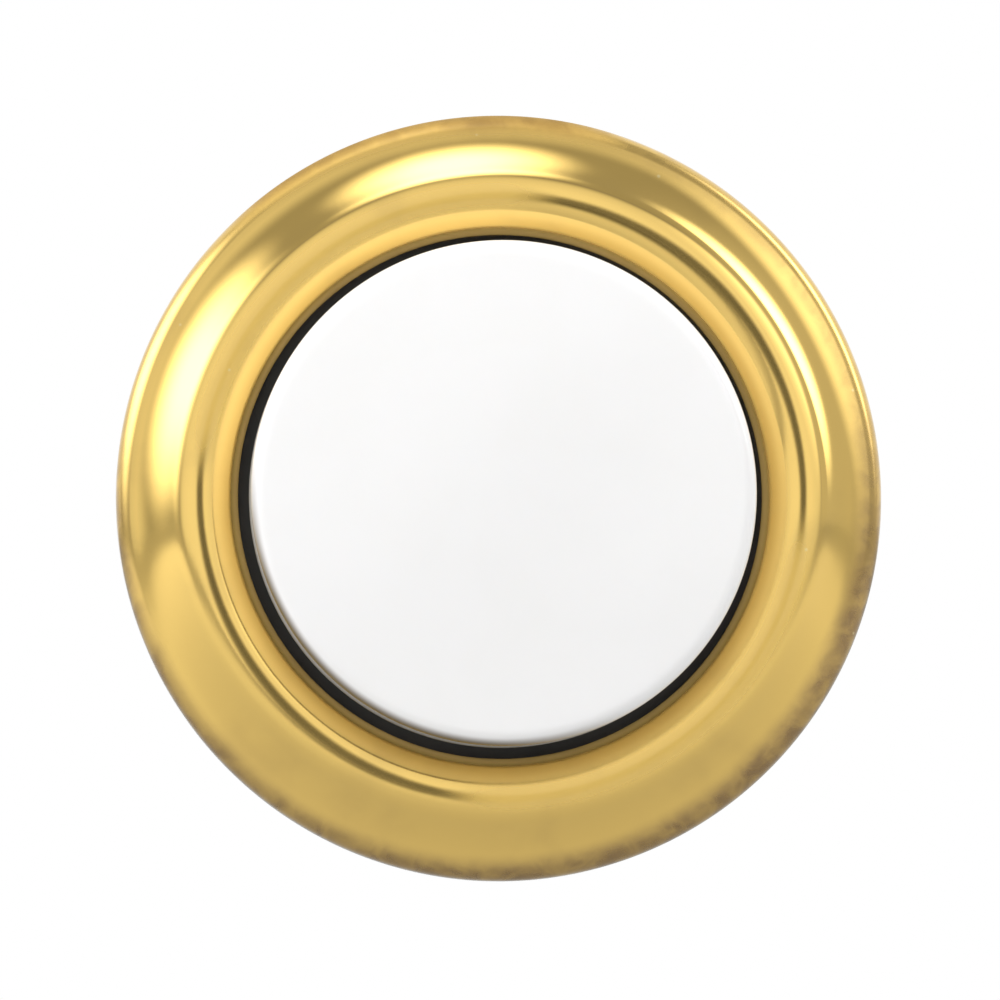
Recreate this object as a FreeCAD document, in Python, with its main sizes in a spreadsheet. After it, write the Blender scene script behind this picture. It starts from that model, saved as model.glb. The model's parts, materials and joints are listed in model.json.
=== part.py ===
# Recess-mounted round doorbell push button with a lamp behind its white cap.
#
# The barrel goes into a round hole in the wall and the brass rim covers the hole's edge.
# The axis is Y: the wall plane is y = 0, the button faces -Y and the barrel runs to +Y.
# Lengths are in millimetres. Radii are measured from the axis. A height is measured forward
# of the wall plane, and a depth is measured behind it.

import FreeCAD, Part
import Sketcher
import math
import os

DRIVING_SIZES = {
    # barrel and guide of the housing
    "barrel_radius": 7.8,
    "barrel_length": 20.0,
    "barrel_chamfer": 0.4,
    "guide_wall": 1.5,
    "guide_depth": 6.0,
    "chamber_wall": 1.0,
    "collar_wall": 0.8,
    "collar_height": 1.4,
    "flange_thickness": 0.5,
    "flange_chamfer": 0.25,
    # rim, stepping outward from the opening round the cap
    "rim_wall": 0.4,
    "bend_radius": 0.08,
    "bevel_width": 0.46,
    "bevel_fall": 0.44,
    "bevel_bend": 0.9,
    "crown_width": 0.82,
    "crown_fall": 0.17,
    "crown_bend": 1.7,
    "band_width": 0.66,
    "band_rise": 0.13,
    "shoulder_bend": 0.4,
    "riser_width": 0.73,
    "riser_rise": 0.57,
    "cove_bend": 2.8,
    "ledge_width": 1.28,
    "ledge_rise": 0.3,
    "edge_height": 1.44,
    "edge_bend": 0.22,
    "lip_width": 1.4,
    "rim_clearance": 0.1,
    "flange_gap": 0.3,
    # button cap and stem
    "travel": 1.2,
    "cap_clearance": 0.23,
    "cap_wall": 1.0,
    "cap_gap": 0.42,
    "cap_top": 1.1,
    "cap_height": 5.0,
    "cap_crown": 0.4,
    "cap_edge_radius": 0.5,
    "cap_floor_clearance": 0.1,
    "spring_seat_width": 1.82,
    "stem_clearance": 0.08,
    "stem_wall": 1.0,
    # snap hooks on the stem, in grooves of the guide
    "hook_count": 3,
    "hook_width": 2.0,
    "hook_reach": 0.6,
    "hook_length": 1.6,
    "hook_land": 0.5,
    "hook_stop_depth": 3.0,
    "hook_side_clearance": 0.2,
    "hook_end_clearance": 0.1,
    "finger_root_depth": -1.0,
    "finger_end_gap": 0.6,
    "finger_slot": 0.5,
    # contacts
    "bridge_thickness": 0.3,
    "bridge_width": 1.15,
    "contact_gap": 0.02,
    "contact_angle": 60.0,
    "contact_head_radius": 0.9,
    "contact_head_height": 0.6,
    "contact_shank_radius": 0.6,
    "contact_tail_radius": 1.1,
    "contact_tail_height": 0.5,
    "stake_count": 3,
    "stake_angle": 30.0,
    "stake_radius": 0.3,
    "stake_head_radius": 0.48,
    "stake_head_height": 0.25,
    "fit_clearance": 0.03,
    # terminal block
    "plug_depth": 4.8,
    "plug_clearance": 0.08,
    "disc_inset": 0.2,
    "disc_thickness": 1.2,
    "snap_width": 2.6,
    "snap_reach": 0.75,
    "snap_length": 1.2,
    "snap_land": 0.5,
    "snap_setback": 1.1,
    "snap_clearance": 0.15,
    "barrier_width": 1.2,
    "barrier_inset": 1.1,
    "barrier_height": 2.4,
    # terminals and their screws
    "plate_inset": 0.5,
    "plate_gap": 0.4,
    "plate_thickness": 0.7,
    "screw_inset": 3.2,
    "screw_radius": 1.4,
    "screw_length": 4.0,
    "screw_head_radius": 2.35,
    "screw_head_height": 1.3,
    "screw_crown": 0.35,
    "screw_slot_width": 0.6,
    "screw_slot_depth": 0.65,
    "screw_end_clearance": 0.4,
    # lamp, its holder and its leads
    "lamp_length": 12.5,
    "lamp_pocket_depth": 4.4,
    "holder_clearance": 0.37,
    "holder_wall": 1.1,
    "holder_height": 5.8,
    "holder_foot_margin": 0.35,
    "holder_foot_height": 0.8,
    "holder_recess_depth": 0.4,
    "lead_radius": 0.2,
    "lead_bend_radius": 0.5,
    "lead_clearance": 0.05,
    # return spring
    "spring_clearance": 0.82,
    "wire_radius": 0.2,
    "spring_turns": 8,
}

LEAD_PLACE = 0.44  # share of the lamp's radius at which each lead leaves its base
DOME = "dome"
SIDES = {"left": 180.0, "right": 0.0}


class Length:
    """A length: its value in millimetres and the formula that gives it in the sheet."""

    def __init__(self, value, formula):
        self.value = value
        self.formula = formula

    @staticmethod
    def of(other):
        if isinstance(other, Length):
            return other
        return Length(float(other), f"{other}")

    def __add__(self, other):
        other = Length.of(other)
        return Length(self.value + other.value, f"{self.formula} + {other.formula}")

    def __sub__(self, other):
        other = Length.of(other)
        return Length(self.value - other.value, f"{self.formula} - ({other.formula})")

    def __mul__(self, factor):
        return Length(self.value * factor, f"({self.formula}) * {factor}")

    def __neg__(self):
        return Length(-self.value, f"-({self.formula})")


class Sizes:
    """The spreadsheet: one named cell for each driving size and each size worked out from them."""

    def __init__(self, document):
        self.sheet = document.addObject("Spreadsheet::Sheet", "Sizes")
        self.row = 0

    def _store(self, name, content, value):
        self.row += 1
        self.sheet.set(f"A{self.row}", name)
        self.sheet.set(f"B{self.row}", content)
        self.sheet.setAlias(f"B{self.row}", name)
        setattr(self, name, Length(value, f"Sizes.{name}"))

    def drive(self, name, value):
        """Store a size that is set by itself."""
        self._store(name, str(value), float(value))

    def derive(self, name, length):
        """Store a size that follows from others."""
        self._store(name, "=" + length.formula.replace("Sizes.", ""), length.value)


def fill_sheet(document):
    """Enter the driving sizes and work out those that fit pieces to each other."""
    size = Sizes(document)
    for name, value in DRIVING_SIZES.items():
        size.drive(name, value)

    # radii, from the barrel outward to the rim's edge
    size.derive("guide_radius", size.barrel_radius - size.guide_wall)
    size.derive("chamber_radius", size.barrel_radius - size.chamber_wall)
    size.derive("collar_radius", size.guide_radius + size.collar_wall)
    size.derive("cap_inner_radius", size.collar_radius + size.cap_clearance)
    size.derive("cap_radius", size.cap_inner_radius + size.cap_wall)
    size.derive("opening_radius", size.cap_radius + size.cap_gap)
    size.derive("bevel_radius", size.opening_radius + size.bevel_width)
    size.derive("crown_radius", size.bevel_radius + size.crown_width)
    size.derive("shoulder_radius", size.crown_radius + size.band_width)
    size.derive("cove_radius", size.shoulder_radius + size.riser_width)
    size.derive("rim_radius", size.cove_radius + size.ledge_width)
    size.derive("lip_radius", size.rim_radius - size.lip_width)
    size.derive("flange_radius", size.rim_radius - size.rim_wall - size.flange_gap)
    size.derive("hub_radius", size.lip_radius - size.rim_clearance)

    # heights in front of the wall
    size.derive("flange_height", size.rim_wall + size.flange_thickness)
    size.derive("collar_top", size.flange_height + size.collar_height)
    size.derive("cove_height", size.edge_height + size.ledge_rise)
    size.derive("shoulder_height", size.cove_height + size.riser_rise)
    size.derive("crown_height", size.shoulder_height + size.band_rise)
    size.derive("bevel_height", size.crown_height - size.crown_fall)
    size.derive("opening_height", size.bevel_height - size.bevel_fall)
    size.derive("cap_base_height", size.flange_height + size.cap_floor_clearance + size.travel)
    size.derive("cap_under_height", size.cap_height - size.cap_top)

    # stem and hooks
    size.derive("stem_radius", size.guide_radius - size.stem_clearance)
    size.derive("bore_radius", size.stem_radius - size.stem_wall)
    size.derive("stem_middle_radius", size.bore_radius + size.stem_wall * 0.5)
    size.derive("light_well_radius", size.bore_radius - size.spring_seat_width)
    size.derive("hook_radius", size.stem_radius + size.hook_reach)
    size.derive("hook_groove_radius", size.hook_radius + size.hook_end_clearance)
    size.derive("finger_end_depth", size.hook_stop_depth + size.hook_length + size.finger_end_gap)

    # what stands inside the stem: spring, lamp holder and lamp
    size.derive("spring_radius", size.bore_radius - size.spring_clearance - size.wire_radius)
    size.derive("holder_radius", size.spring_radius - size.wire_radius - size.holder_clearance)
    size.derive("holder_pocket_radius", size.holder_radius - size.holder_wall)
    size.derive("lamp_radius", size.holder_pocket_radius - size.fit_clearance)
    size.derive("lead_offset", size.lamp_radius * LEAD_PLACE)
    size.derive("holder_foot_radius", size.spring_radius + size.holder_foot_margin)
    size.derive("recess_radius", size.holder_foot_radius + size.fit_clearance)

    # depths behind the wall
    size.derive("plug_front_depth", size.barrel_length - size.plug_depth)
    size.derive("disc_rear_depth", size.barrel_length + size.disc_thickness)
    size.derive("plate_rear_depth", size.disc_rear_depth + size.plate_thickness)
    size.derive("contact_top_depth", size.plug_front_depth - size.contact_head_height)
    size.derive("bridge_rear_depth", size.contact_top_depth - size.contact_gap - size.travel)
    size.derive("stem_end_depth", size.bridge_rear_depth - size.bridge_thickness)
    size.derive("recess_depth", size.plug_front_depth + size.holder_recess_depth)
    size.derive("foot_top_depth", size.recess_depth - size.holder_foot_height)
    size.derive("holder_top_depth", size.foot_top_depth - size.holder_height)
    size.derive("lamp_base_depth", size.holder_top_depth + size.lamp_pocket_depth)
    size.derive("lead_groove_depth", size.recess_depth + (size.lead_radius + size.lead_clearance) * 2)
    size.derive("lead_depth", size.lead_groove_depth - size.lead_radius)

    # block, terminals and contacts
    size.derive("plug_radius", size.chamber_radius - size.plug_clearance)
    size.derive("disc_radius", size.barrel_radius - size.disc_inset)
    size.derive("plate_radius", size.disc_radius - size.plate_inset)
    size.derive("screw_offset", size.plate_radius - size.screw_inset)
    size.derive("snap_front_depth", size.plug_front_depth + size.snap_setback)
    size.derive("snap_rear_depth", size.snap_front_depth + size.snap_length)
    size.derive("snap_radius", size.plug_radius + size.snap_reach)
    size.derive("contact_hole_radius", size.contact_shank_radius + size.fit_clearance)
    size.derive("screw_hole_radius", size.screw_radius + size.fit_clearance)
    size.derive("plate_edge", size.barrier_width * 0.5 + size.plate_gap)
    size.derive("lead_end", size.stem_middle_radius - size.contact_shank_radius)
    document.recompute()
    return size


def bind(feature, prop, length):
    """Tie a property of a feature to the sheet."""
    feature.setExpression(prop, Length.of(length).formula)


def new_body(document, label):
    """Start a sub-part as a body with its own label."""
    body = document.addObject("PartDesign::Body", label)
    body.Label = label
    return body


def origin_feature(body, role):
    """Find a plane or axis of a body's own origin."""
    return next(found for found in body.Origin.OriginFeatures if found.Role == role)


def attach_sketch(body, name, plane="XY_Plane", across=None, forward=None, turn=None):
    """Put a sketch on an origin plane, shifted along its X and its normal and turned about it."""
    sketch = body.newObject("Sketcher::SketchObject", name)
    sketch.AttachmentSupport = [(origin_feature(body, plane), "")]
    sketch.MapMode = "FlatFace"
    if turn is not None:
        turned = FreeCAD.Rotation(FreeCAD.Vector(0, 0, 1), turn.value)
        sketch.AttachmentOffset = FreeCAD.Placement(FreeCAD.Vector(), turned)
        bind(sketch, "AttachmentOffset.Rotation.Angle", turn)
    if across is not None:
        bind(sketch, "AttachmentOffset.Base.x", across)
    if forward is not None:
        bind(sketch, "AttachmentOffset.Base.z", forward)
    return sketch


def attach_across(body, name, depth, across=None, turn=None):
    """Put a sketch square to the axis at a depth behind the wall."""
    return attach_sketch(body, name, "XZ_Plane", across=across, forward=-depth, turn=turn)


def fix_point(sketch, geometry, end, place):
    """Hold a point of the sketch at formulas for its X and its Y."""
    for kind, axis, length in (("DistanceX", -2, place[0]), ("DistanceY", -1, place[1])):
        length = Length.of(length)
        if length.value == 0:
            sketch.addConstraint(Sketcher.Constraint("PointOnObject", geometry, end, axis))
            continue
        index = sketch.addConstraint(Sketcher.Constraint(kind, -1, 1, geometry, end, length.value))
        sketch.setExpression(f"Constraints[{index}]", length.formula)


def flat_point(place):
    """The present position of a place in the sketch."""
    return FreeCAD.Vector(Length.of(place[0]).value, Length.of(place[1]).value, 0)


def bend_points(before, corner, after, radius):
    """The start, end and centre of the arc that rounds a corner."""
    back = (before - corner).normalize()
    on = (after - corner).normalize()
    half_angle = math.acos(max(-1.0, min(1.0, back.dot(on)))) / 2
    run = radius / math.tan(half_angle)
    centre = corner + (back + on).normalize() * (radius / math.sin(half_angle))
    return corner + back * run, corner + on * run, centre


def draw_outline(sketch, corners, closed=True):
    """Draw straight runs from corner to corner.

    A corner is (x, y), (x, y, bend radius) or (x, y, DOME). A bend rounds the corner with an arc
    that is tangent to both runs, and DOME makes the run to the next corner an arc with its
    centre on the sketch's Y axis.
    """
    places = [flat_point(corner) for corner in corners]
    count = len(corners)
    bends = {}
    for i, corner in enumerate(corners):
        if len(corner) > 2 and corner[2] is not DOME:
            around = places[i - 1], places[i], places[(i + 1) % count]
            bends[i] = bend_points(*around, corner[2].value)

    runs = []
    for i in range(count if closed else count - 1):
        following = (i + 1) % count
        start = bends[i][1] if i in bends else places[i]
        stop = bends[following][0] if following in bends else places[following]
        if len(corners[i]) > 2 and corners[i][2] is DOME:
            runs.append(add_dome(sketch, start, stop))
        else:
            runs.append((sketch.addGeometry(Part.LineSegment(start, stop)), 1, 2))

    for i, corner in enumerate(corners):
        arriving = runs[i - 1] if i > 0 or closed else None
        leaving = runs[i] if i < len(runs) else None
        if i in bends:
            add_bend(sketch, bends[i], corner, arriving, leaving)
        elif arriving and leaving:
            joint = (arriving[0], arriving[2], leaving[0], leaving[1])
            sketch.addConstraint(Sketcher.Constraint("Coincident", *joint))
            fix_point(sketch, leaving[0], leaving[1], corner)
        elif leaving:
            fix_point(sketch, leaving[0], leaving[1], corner)
        else:
            fix_point(sketch, arriving[0], arriving[2], corner)


def add_arc(sketch, start, stop, centre):
    """Add the shorter arc from start to stop, and say which of its ends is the start."""
    circle = Part.Circle(centre, FreeCAD.Vector(0, 0, 1), (start - centre).Length)
    angles = [math.atan2(point.y - centre.y, point.x - centre.x) for point in (start, stop)]
    turn = (angles[1] - angles[0]) % (2 * math.pi)
    if turn <= math.pi:
        arc = sketch.addGeometry(Part.ArcOfCircle(circle, angles[0], angles[0] + turn))
        return arc, 1, 2
    arc = sketch.addGeometry(Part.ArcOfCircle(circle, angles[1], angles[1] - turn + 2 * math.pi))
    return arc, 2, 1


def add_dome(sketch, start, stop):
    """Add an arc from start to stop with its centre on the Y axis."""
    rise = start.y - stop.y
    centre_y = (start.y + stop.y) / 2 - (stop.x**2 - start.x**2) / (2 * rise)
    arc = add_arc(sketch, start, stop, FreeCAD.Vector(0, centre_y, 0))
    sketch.addConstraint(Sketcher.Constraint("PointOnObject", arc[0], 3, -2))
    return arc


def add_bend(sketch, points, corner, arriving, leaving):
    """Round a corner between two straight runs, with the sharp corner kept as a point."""
    arc, first, last = add_arc(sketch, *points)
    sharp = sketch.addGeometry(Part.Point(flat_point(corner)), True)
    fix_point(sketch, sharp, 1, corner)
    sketch.addConstraint(Sketcher.Constraint("PointOnObject", sharp, 1, arriving[0]))
    sketch.addConstraint(Sketcher.Constraint("PointOnObject", sharp, 1, leaving[0]))
    sketch.addConstraint(Sketcher.Constraint("Tangent", arriving[0], arriving[2], arc, first))
    sketch.addConstraint(Sketcher.Constraint("Tangent", arc, last, leaving[0], leaving[1]))
    index = sketch.addConstraint(Sketcher.Constraint("Radius", arc, corner[2].value))
    sketch.setExpression(f"Constraints[{index}]", corner[2].formula)


def draw_circle(sketch, place, radius):
    """Draw a circle whose centre and radius follow the sheet."""
    circle = Part.Circle(flat_point(place), FreeCAD.Vector(0, 0, 1), radius.value)
    index = sketch.addGeometry(circle)
    fix_point(sketch, index, 3, place)
    held = sketch.addConstraint(Sketcher.Constraint("Radius", index, radius.value))
    sketch.setExpression(f"Constraints[{held}]", radius.formula)


def draw_box(sketch, low, high):
    """Draw a rectangle between two opposite corners."""
    draw_outline(sketch, [low, (high[0], low[1]), high, (low[0], high[1])])


def spin(body, sketch, name="turned_form", cut=False):
    """Revolve a section about the sketch's Y axis, to add or to cut material."""
    kind = "PartDesign::Groove" if cut else "PartDesign::Revolution"
    feature = body.newObject(kind, name)
    feature.Profile = sketch
    feature.ReferenceAxis = (sketch, ["V_Axis"])
    feature.Angle = 360
    return feature


def extrude(body, sketch, length, name, cut=False, back=False, midplane=False):
    """Pad or pocket a sketch by a length, or through everything when the length is None."""
    feature = body.newObject("PartDesign::Pocket" if cut else "PartDesign::Pad", name)
    feature.Profile = sketch
    if length is None:
        feature.Type = "ThroughAll"
    else:
        bind(feature, "Length", length)
    feature.Reversed = back
    if midplane:
        feature.SideType = "Symmetric"
    return feature


def repeat_round(body, features, count, name):
    """Repeat features evenly round the body's Y axis."""
    pattern = body.newObject("PartDesign::PolarPattern", name)
    pattern.Originals = features
    pattern.Axis = (origin_feature(body, "Y_Axis"), [""])
    pattern.Angle = 360
    if isinstance(count, Length):
        bind(pattern, "Occurrences", count)
    else:
        pattern.Occurrences = count
    body.Tip = pattern
    return pattern


def turn_about_axis(body, angle):
    """Turn a whole sub-part about the Y axis to its place."""
    angle = Length.of(angle)
    axis = FreeCAD.Vector(0, 1, 0)
    body.Placement = FreeCAD.Placement(FreeCAD.Vector(), FreeCAD.Rotation(axis, angle.value))
    bind(body, "Placement.Rotation.Angle", angle)


def make_rim(document, size):
    """Stamped brass rim: one outline of sheet, thickened inward and spun about the axis."""
    outline = document.addObject("Sketcher::SketchObject", "rim_outline")
    bend = size.rim_wall + size.bend_radius
    edge_bend = size.rim_wall + size.edge_bend
    shoulder_bend = size.rim_wall + size.shoulder_bend
    crown_bend = size.rim_wall + size.crown_bend
    bevel_bend = size.rim_wall + size.bevel_bend
    draw_outline(
        outline,
        [
            (size.lip_radius, 0),
            (size.rim_radius, 0, bend),
            (size.rim_radius, -size.edge_height, edge_bend),
            (size.cove_radius, -size.cove_height, size.cove_bend),
            (size.shoulder_radius, -size.shoulder_height, shoulder_bend),
            (size.crown_radius, -size.crown_height, crown_bend),
            (size.bevel_radius, -size.bevel_height, bevel_bend),
            (size.opening_radius, -size.opening_height, bend),
            (size.opening_radius, -size.flange_height),
        ],
        closed=False,
    )
    sheet_section = document.addObject("Part::Offset2D", "rim_section")
    sheet_section.Source = outline
    sheet_section.Mode = "Skin"
    sheet_section.Join = "Intersection"
    sheet_section.Fill = True
    bind(sheet_section, "Value", size.rim_wall)
    rim = document.addObject("Part::Revolution", "rim")
    rim.Label = "rim"
    rim.Source = sheet_section
    rim.Axis = FreeCAD.Vector(0, 1, 0)
    rim.Base = FreeCAD.Vector()
    rim.Angle = 360
    rim.Solid = True
    return rim


def make_housing(document, size):
    """Black moulded housing: flange behind the rim, guide collar and barrel."""
    body = new_body(document, "housing")
    section = attach_sketch(body, "housing_section")
    draw_outline(
        section,
        [
            (size.guide_radius, -size.collar_top),
            (size.collar_radius, -size.collar_top),
            (size.collar_radius, -size.flange_height),
            (size.flange_radius - size.flange_chamfer, -size.flange_height),
            (size.flange_radius, -(size.flange_height - size.flange_chamfer)),
            (size.flange_radius, -size.rim_wall),
            (size.hub_radius, -size.rim_wall),
            (size.hub_radius, 0),
            (size.barrel_radius, 0),
            (size.barrel_radius, size.barrel_length - size.barrel_chamfer),
            (size.barrel_radius - size.barrel_chamfer, size.barrel_length),
            (size.chamber_radius, size.barrel_length),
            (size.chamber_radius, size.guide_depth),
            (size.guide_radius, size.guide_depth),
        ],
    )
    spin(body, section)

    # grooves in the guide that hold the snap hooks and keep the button from turning
    half_width = size.hook_width * 0.5 + size.hook_side_clearance
    groove = attach_across(body, "hook_groove_outline", size.hook_stop_depth)
    draw_box(groove, (0, -half_width), (size.hook_groove_radius, half_width))
    depth = size.guide_depth - size.hook_stop_depth
    hook_groove = extrude(body, groove, depth, "hook_groove", cut=True)
    repeat_round(body, [hook_groove], size.hook_count, "hook_grooves")

    # windows near the barrel's end that take the snaps of the terminal block
    window = attach_sketch(body, "snap_window_outline")
    half_window = size.snap_width * 0.5 + size.snap_clearance
    low = (-half_window, size.snap_front_depth - size.snap_clearance)
    high = (half_window, size.snap_rear_depth + size.snap_clearance)
    draw_box(window, low, high)
    extrude(body, window, size.barrel_radius * 2, "snap_windows", cut=True, midplane=True)
    return body


def make_button(document, size):
    """White cap, stem, snap hooks and stakes in one moulding."""
    body = new_body(document, "button")
    section = attach_sketch(body, "button_section")
    draw_outline(
        section,
        [
            (0, -(size.cap_height + size.cap_crown), DOME),
            (size.cap_radius, -size.cap_height),
            (size.cap_radius, -size.cap_base_height),
            (size.cap_inner_radius, -size.cap_base_height),
            (size.cap_inner_radius, -size.cap_under_height),
            (size.stem_radius, -size.cap_under_height),
            (size.stem_radius, size.stem_end_depth),
            (size.bore_radius, size.stem_end_depth),
            (size.bore_radius, -size.cap_under_height),
            (size.light_well_radius, -size.cap_under_height, DOME),
            (0, -(size.cap_under_height + size.cap_crown)),
        ],
    )
    turned = spin(body, section)
    document.recompute()

    edge = body.newObject("PartDesign::Fillet", "cap_edge")
    edge.Base = (turned, [round_edge_name(turned.Shape, size.cap_radius, -size.cap_height)])
    bind(edge, "Radius", size.cap_edge_radius)

    add_hooks(body, size)
    add_stakes(body, size)
    return body


def round_edge_name(shape, radius, depth):
    """Name the circular edge of a turned shape that has this radius and depth."""
    for number, edge in enumerate(shape.Edges, 1):
        middle = edge.valueAt((edge.FirstParameter + edge.LastParameter) / 2)
        off_radius = abs(math.hypot(middle.x, middle.z) - radius.value)
        off_depth = abs(middle.y - depth.value)
        if max(off_radius, off_depth) < 1e-4:
            return f"Edge{number}"
    raise ValueError("no round edge of that radius at that depth")


def add_hooks(body, size):
    """Sprung fingers cut out of the stem, each with a hook on its end."""
    half = size.hook_width * 0.5
    outer = half + size.finger_slot
    root = size.finger_root_depth
    end = size.finger_end_depth
    slot = attach_sketch(body, "finger_slot_outline", "YZ_Plane")
    draw_outline(
        slot,
        [
            (root, -outer),
            (end, -outer),
            (end, outer),
            (root, outer),
            (root, half),
            (end - size.finger_slot, half),
            (end - size.finger_slot, -half),
            (root, -half),
        ],
    )
    finger_slot = extrude(body, slot, size.barrel_radius, "finger_slot", cut=True, back=True)
    hook = attach_sketch(body, "hook_outline")
    front = size.hook_stop_depth
    rear = size.hook_stop_depth + size.hook_length
    sunk = size.stem_radius - size.stem_wall * 0.5
    draw_outline(
        hook,
        [
            (sunk, front),
            (size.hook_radius, front),
            (size.hook_radius, front + size.hook_land),
            (size.stem_radius, rear),
            (sunk, rear),
        ],
    )
    hook_pad = extrude(body, hook, size.hook_width, "hook", midplane=True)
    repeat_round(body, [finger_slot, hook_pad], size.hook_count, "hooks")


def add_stakes(body, size):
    """Plastic stakes on the stem's end, headed over behind the contact bridge."""
    middle = size.stem_middle_radius
    pin = attach_across(body, "stake_circle", size.stem_end_depth, turn=size.stake_angle)
    draw_circle(pin, (middle, 0), size.stake_radius)
    pin_length = size.bridge_thickness + size.stake_head_height
    stake = extrude(body, pin, pin_length, "stake", back=True)
    cap = attach_across(body, "stake_head_circle", size.bridge_rear_depth, turn=size.stake_angle)
    draw_circle(cap, (middle, 0), size.stake_head_radius)
    head = extrude(body, cap, size.stake_head_height, "stake_head", back=True)
    repeat_round(body, [stake, head], size.stake_count, "stakes")


def make_contact_bridge(document, size):
    """Bronze ring on the stem's end that joins the two fixed contacts."""
    body = new_body(document, "contact_bridge")
    section = attach_sketch(body, "bridge_section")
    middle = size.stem_middle_radius
    half = size.bridge_width * 0.5
    draw_box(section, (middle - half, size.stem_end_depth), (middle + half, size.bridge_rear_depth))
    spin(body, section)
    hole = attach_across(body, "stake_hole_circle", size.stem_end_depth, turn=size.stake_angle)
    draw_circle(hole, (middle, 0), size.stake_radius + size.fit_clearance)
    cut = extrude(body, hole, size.bridge_thickness, "stake_hole", cut=True)
    repeat_round(body, [cut], size.stake_count, "stake_holes")
    return body


def make_terminal_block(document, size):
    """Insulating block that plugs the barrel's end and carries contacts, lamp and terminals."""
    body = new_body(document, "terminal_block")
    section = attach_sketch(body, "block_section")
    draw_outline(
        section,
        [
            (0, size.recess_depth),
            (size.recess_radius, size.recess_depth),
            (size.recess_radius, size.plug_front_depth),
            (size.plug_radius, size.plug_front_depth),
            (size.plug_radius, size.barrel_length),
            (size.disc_radius, size.barrel_length),
            (size.disc_radius, size.disc_rear_depth),
            (0, size.disc_rear_depth),
        ],
    )
    spin(body, section)

    # barrier between the two terminals
    barrier = attach_across(body, "barrier_outline", size.disc_rear_depth)
    half_width = size.barrier_width * 0.5
    half_length = size.disc_radius - size.barrier_inset
    draw_box(barrier, (-half_width, -half_length), (half_width, half_length))
    extrude(body, barrier, size.barrier_height, "barrier", back=True)

    # ramped snaps above and below, in the barrel's windows
    snap = attach_sketch(body, "snap_outline", "YZ_Plane")
    sunk = size.plug_radius - size.snap_reach
    draw_outline(
        snap,
        [
            (size.snap_front_depth, sunk),
            (size.snap_rear_depth, sunk),
            (size.snap_rear_depth, size.snap_radius),
            (size.snap_rear_depth - size.snap_land, size.snap_radius),
            (size.snap_front_depth, size.plug_radius),
        ],
    )
    snap_pad = extrude(body, snap, size.snap_width, "snap", midplane=True)
    repeat_round(body, [snap_pad], 2, "snaps")

    # through holes for the contact rivets and grooves for the lamp's leads
    turn = size.contact_angle * -1
    hole = attach_across(body, "rivet_hole_circle", size.plug_front_depth, turn=turn)
    draw_circle(hole, (size.stem_middle_radius, 0), size.contact_hole_radius)
    hole_depth = size.disc_rear_depth - size.plug_front_depth
    rivet_hole = extrude(body, hole, hole_depth, "rivet_hole", cut=True)
    groove = attach_across(body, "lead_groove_outline", size.plug_front_depth, turn=turn)
    half_groove = size.lead_radius + size.lead_clearance
    inner_end = size.lead_offset - half_groove
    draw_box(groove, (inner_end, -half_groove), (size.stem_middle_radius, half_groove))
    groove_depth = size.lead_groove_depth - size.plug_front_depth
    lead_groove = extrude(body, groove, groove_depth, "lead_groove", cut=True)

    # blind holes behind the plates for the ends of the terminal screws
    blind = attach_across(body, "screw_hole_circle", size.disc_rear_depth)
    draw_circle(blind, (size.screw_offset, 0), size.screw_hole_radius)
    blind_depth = size.screw_length - size.plate_thickness + size.screw_end_clearance
    screw_hole = extrude(body, blind, blind_depth, "screw_hole", cut=True, back=True)
    repeat_round(body, [rivet_hole, lead_groove, screw_hole], 2, "terminal_cuts")
    return body


def make_contact(document, size, side):
    """Contact rivet: domed head in front of the block, tail closed over the terminal plate."""
    body = new_body(document, f"{side}_contact")
    section = attach_sketch(body, f"{side}_contact_section", across=size.stem_middle_radius)
    tail_depth = size.plate_rear_depth + size.contact_tail_height
    draw_outline(
        section,
        [
            (0, size.contact_top_depth, DOME),
            (size.contact_head_radius, size.plug_front_depth),
            (size.contact_shank_radius, size.plug_front_depth),
            (size.contact_shank_radius, size.plate_rear_depth),
            (size.contact_tail_radius, size.plate_rear_depth, DOME),
            (0, tail_depth),
        ],
    )
    spin(body, section)
    turn_about_axis(body, size.contact_angle + SIDES[side])
    return body


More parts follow.
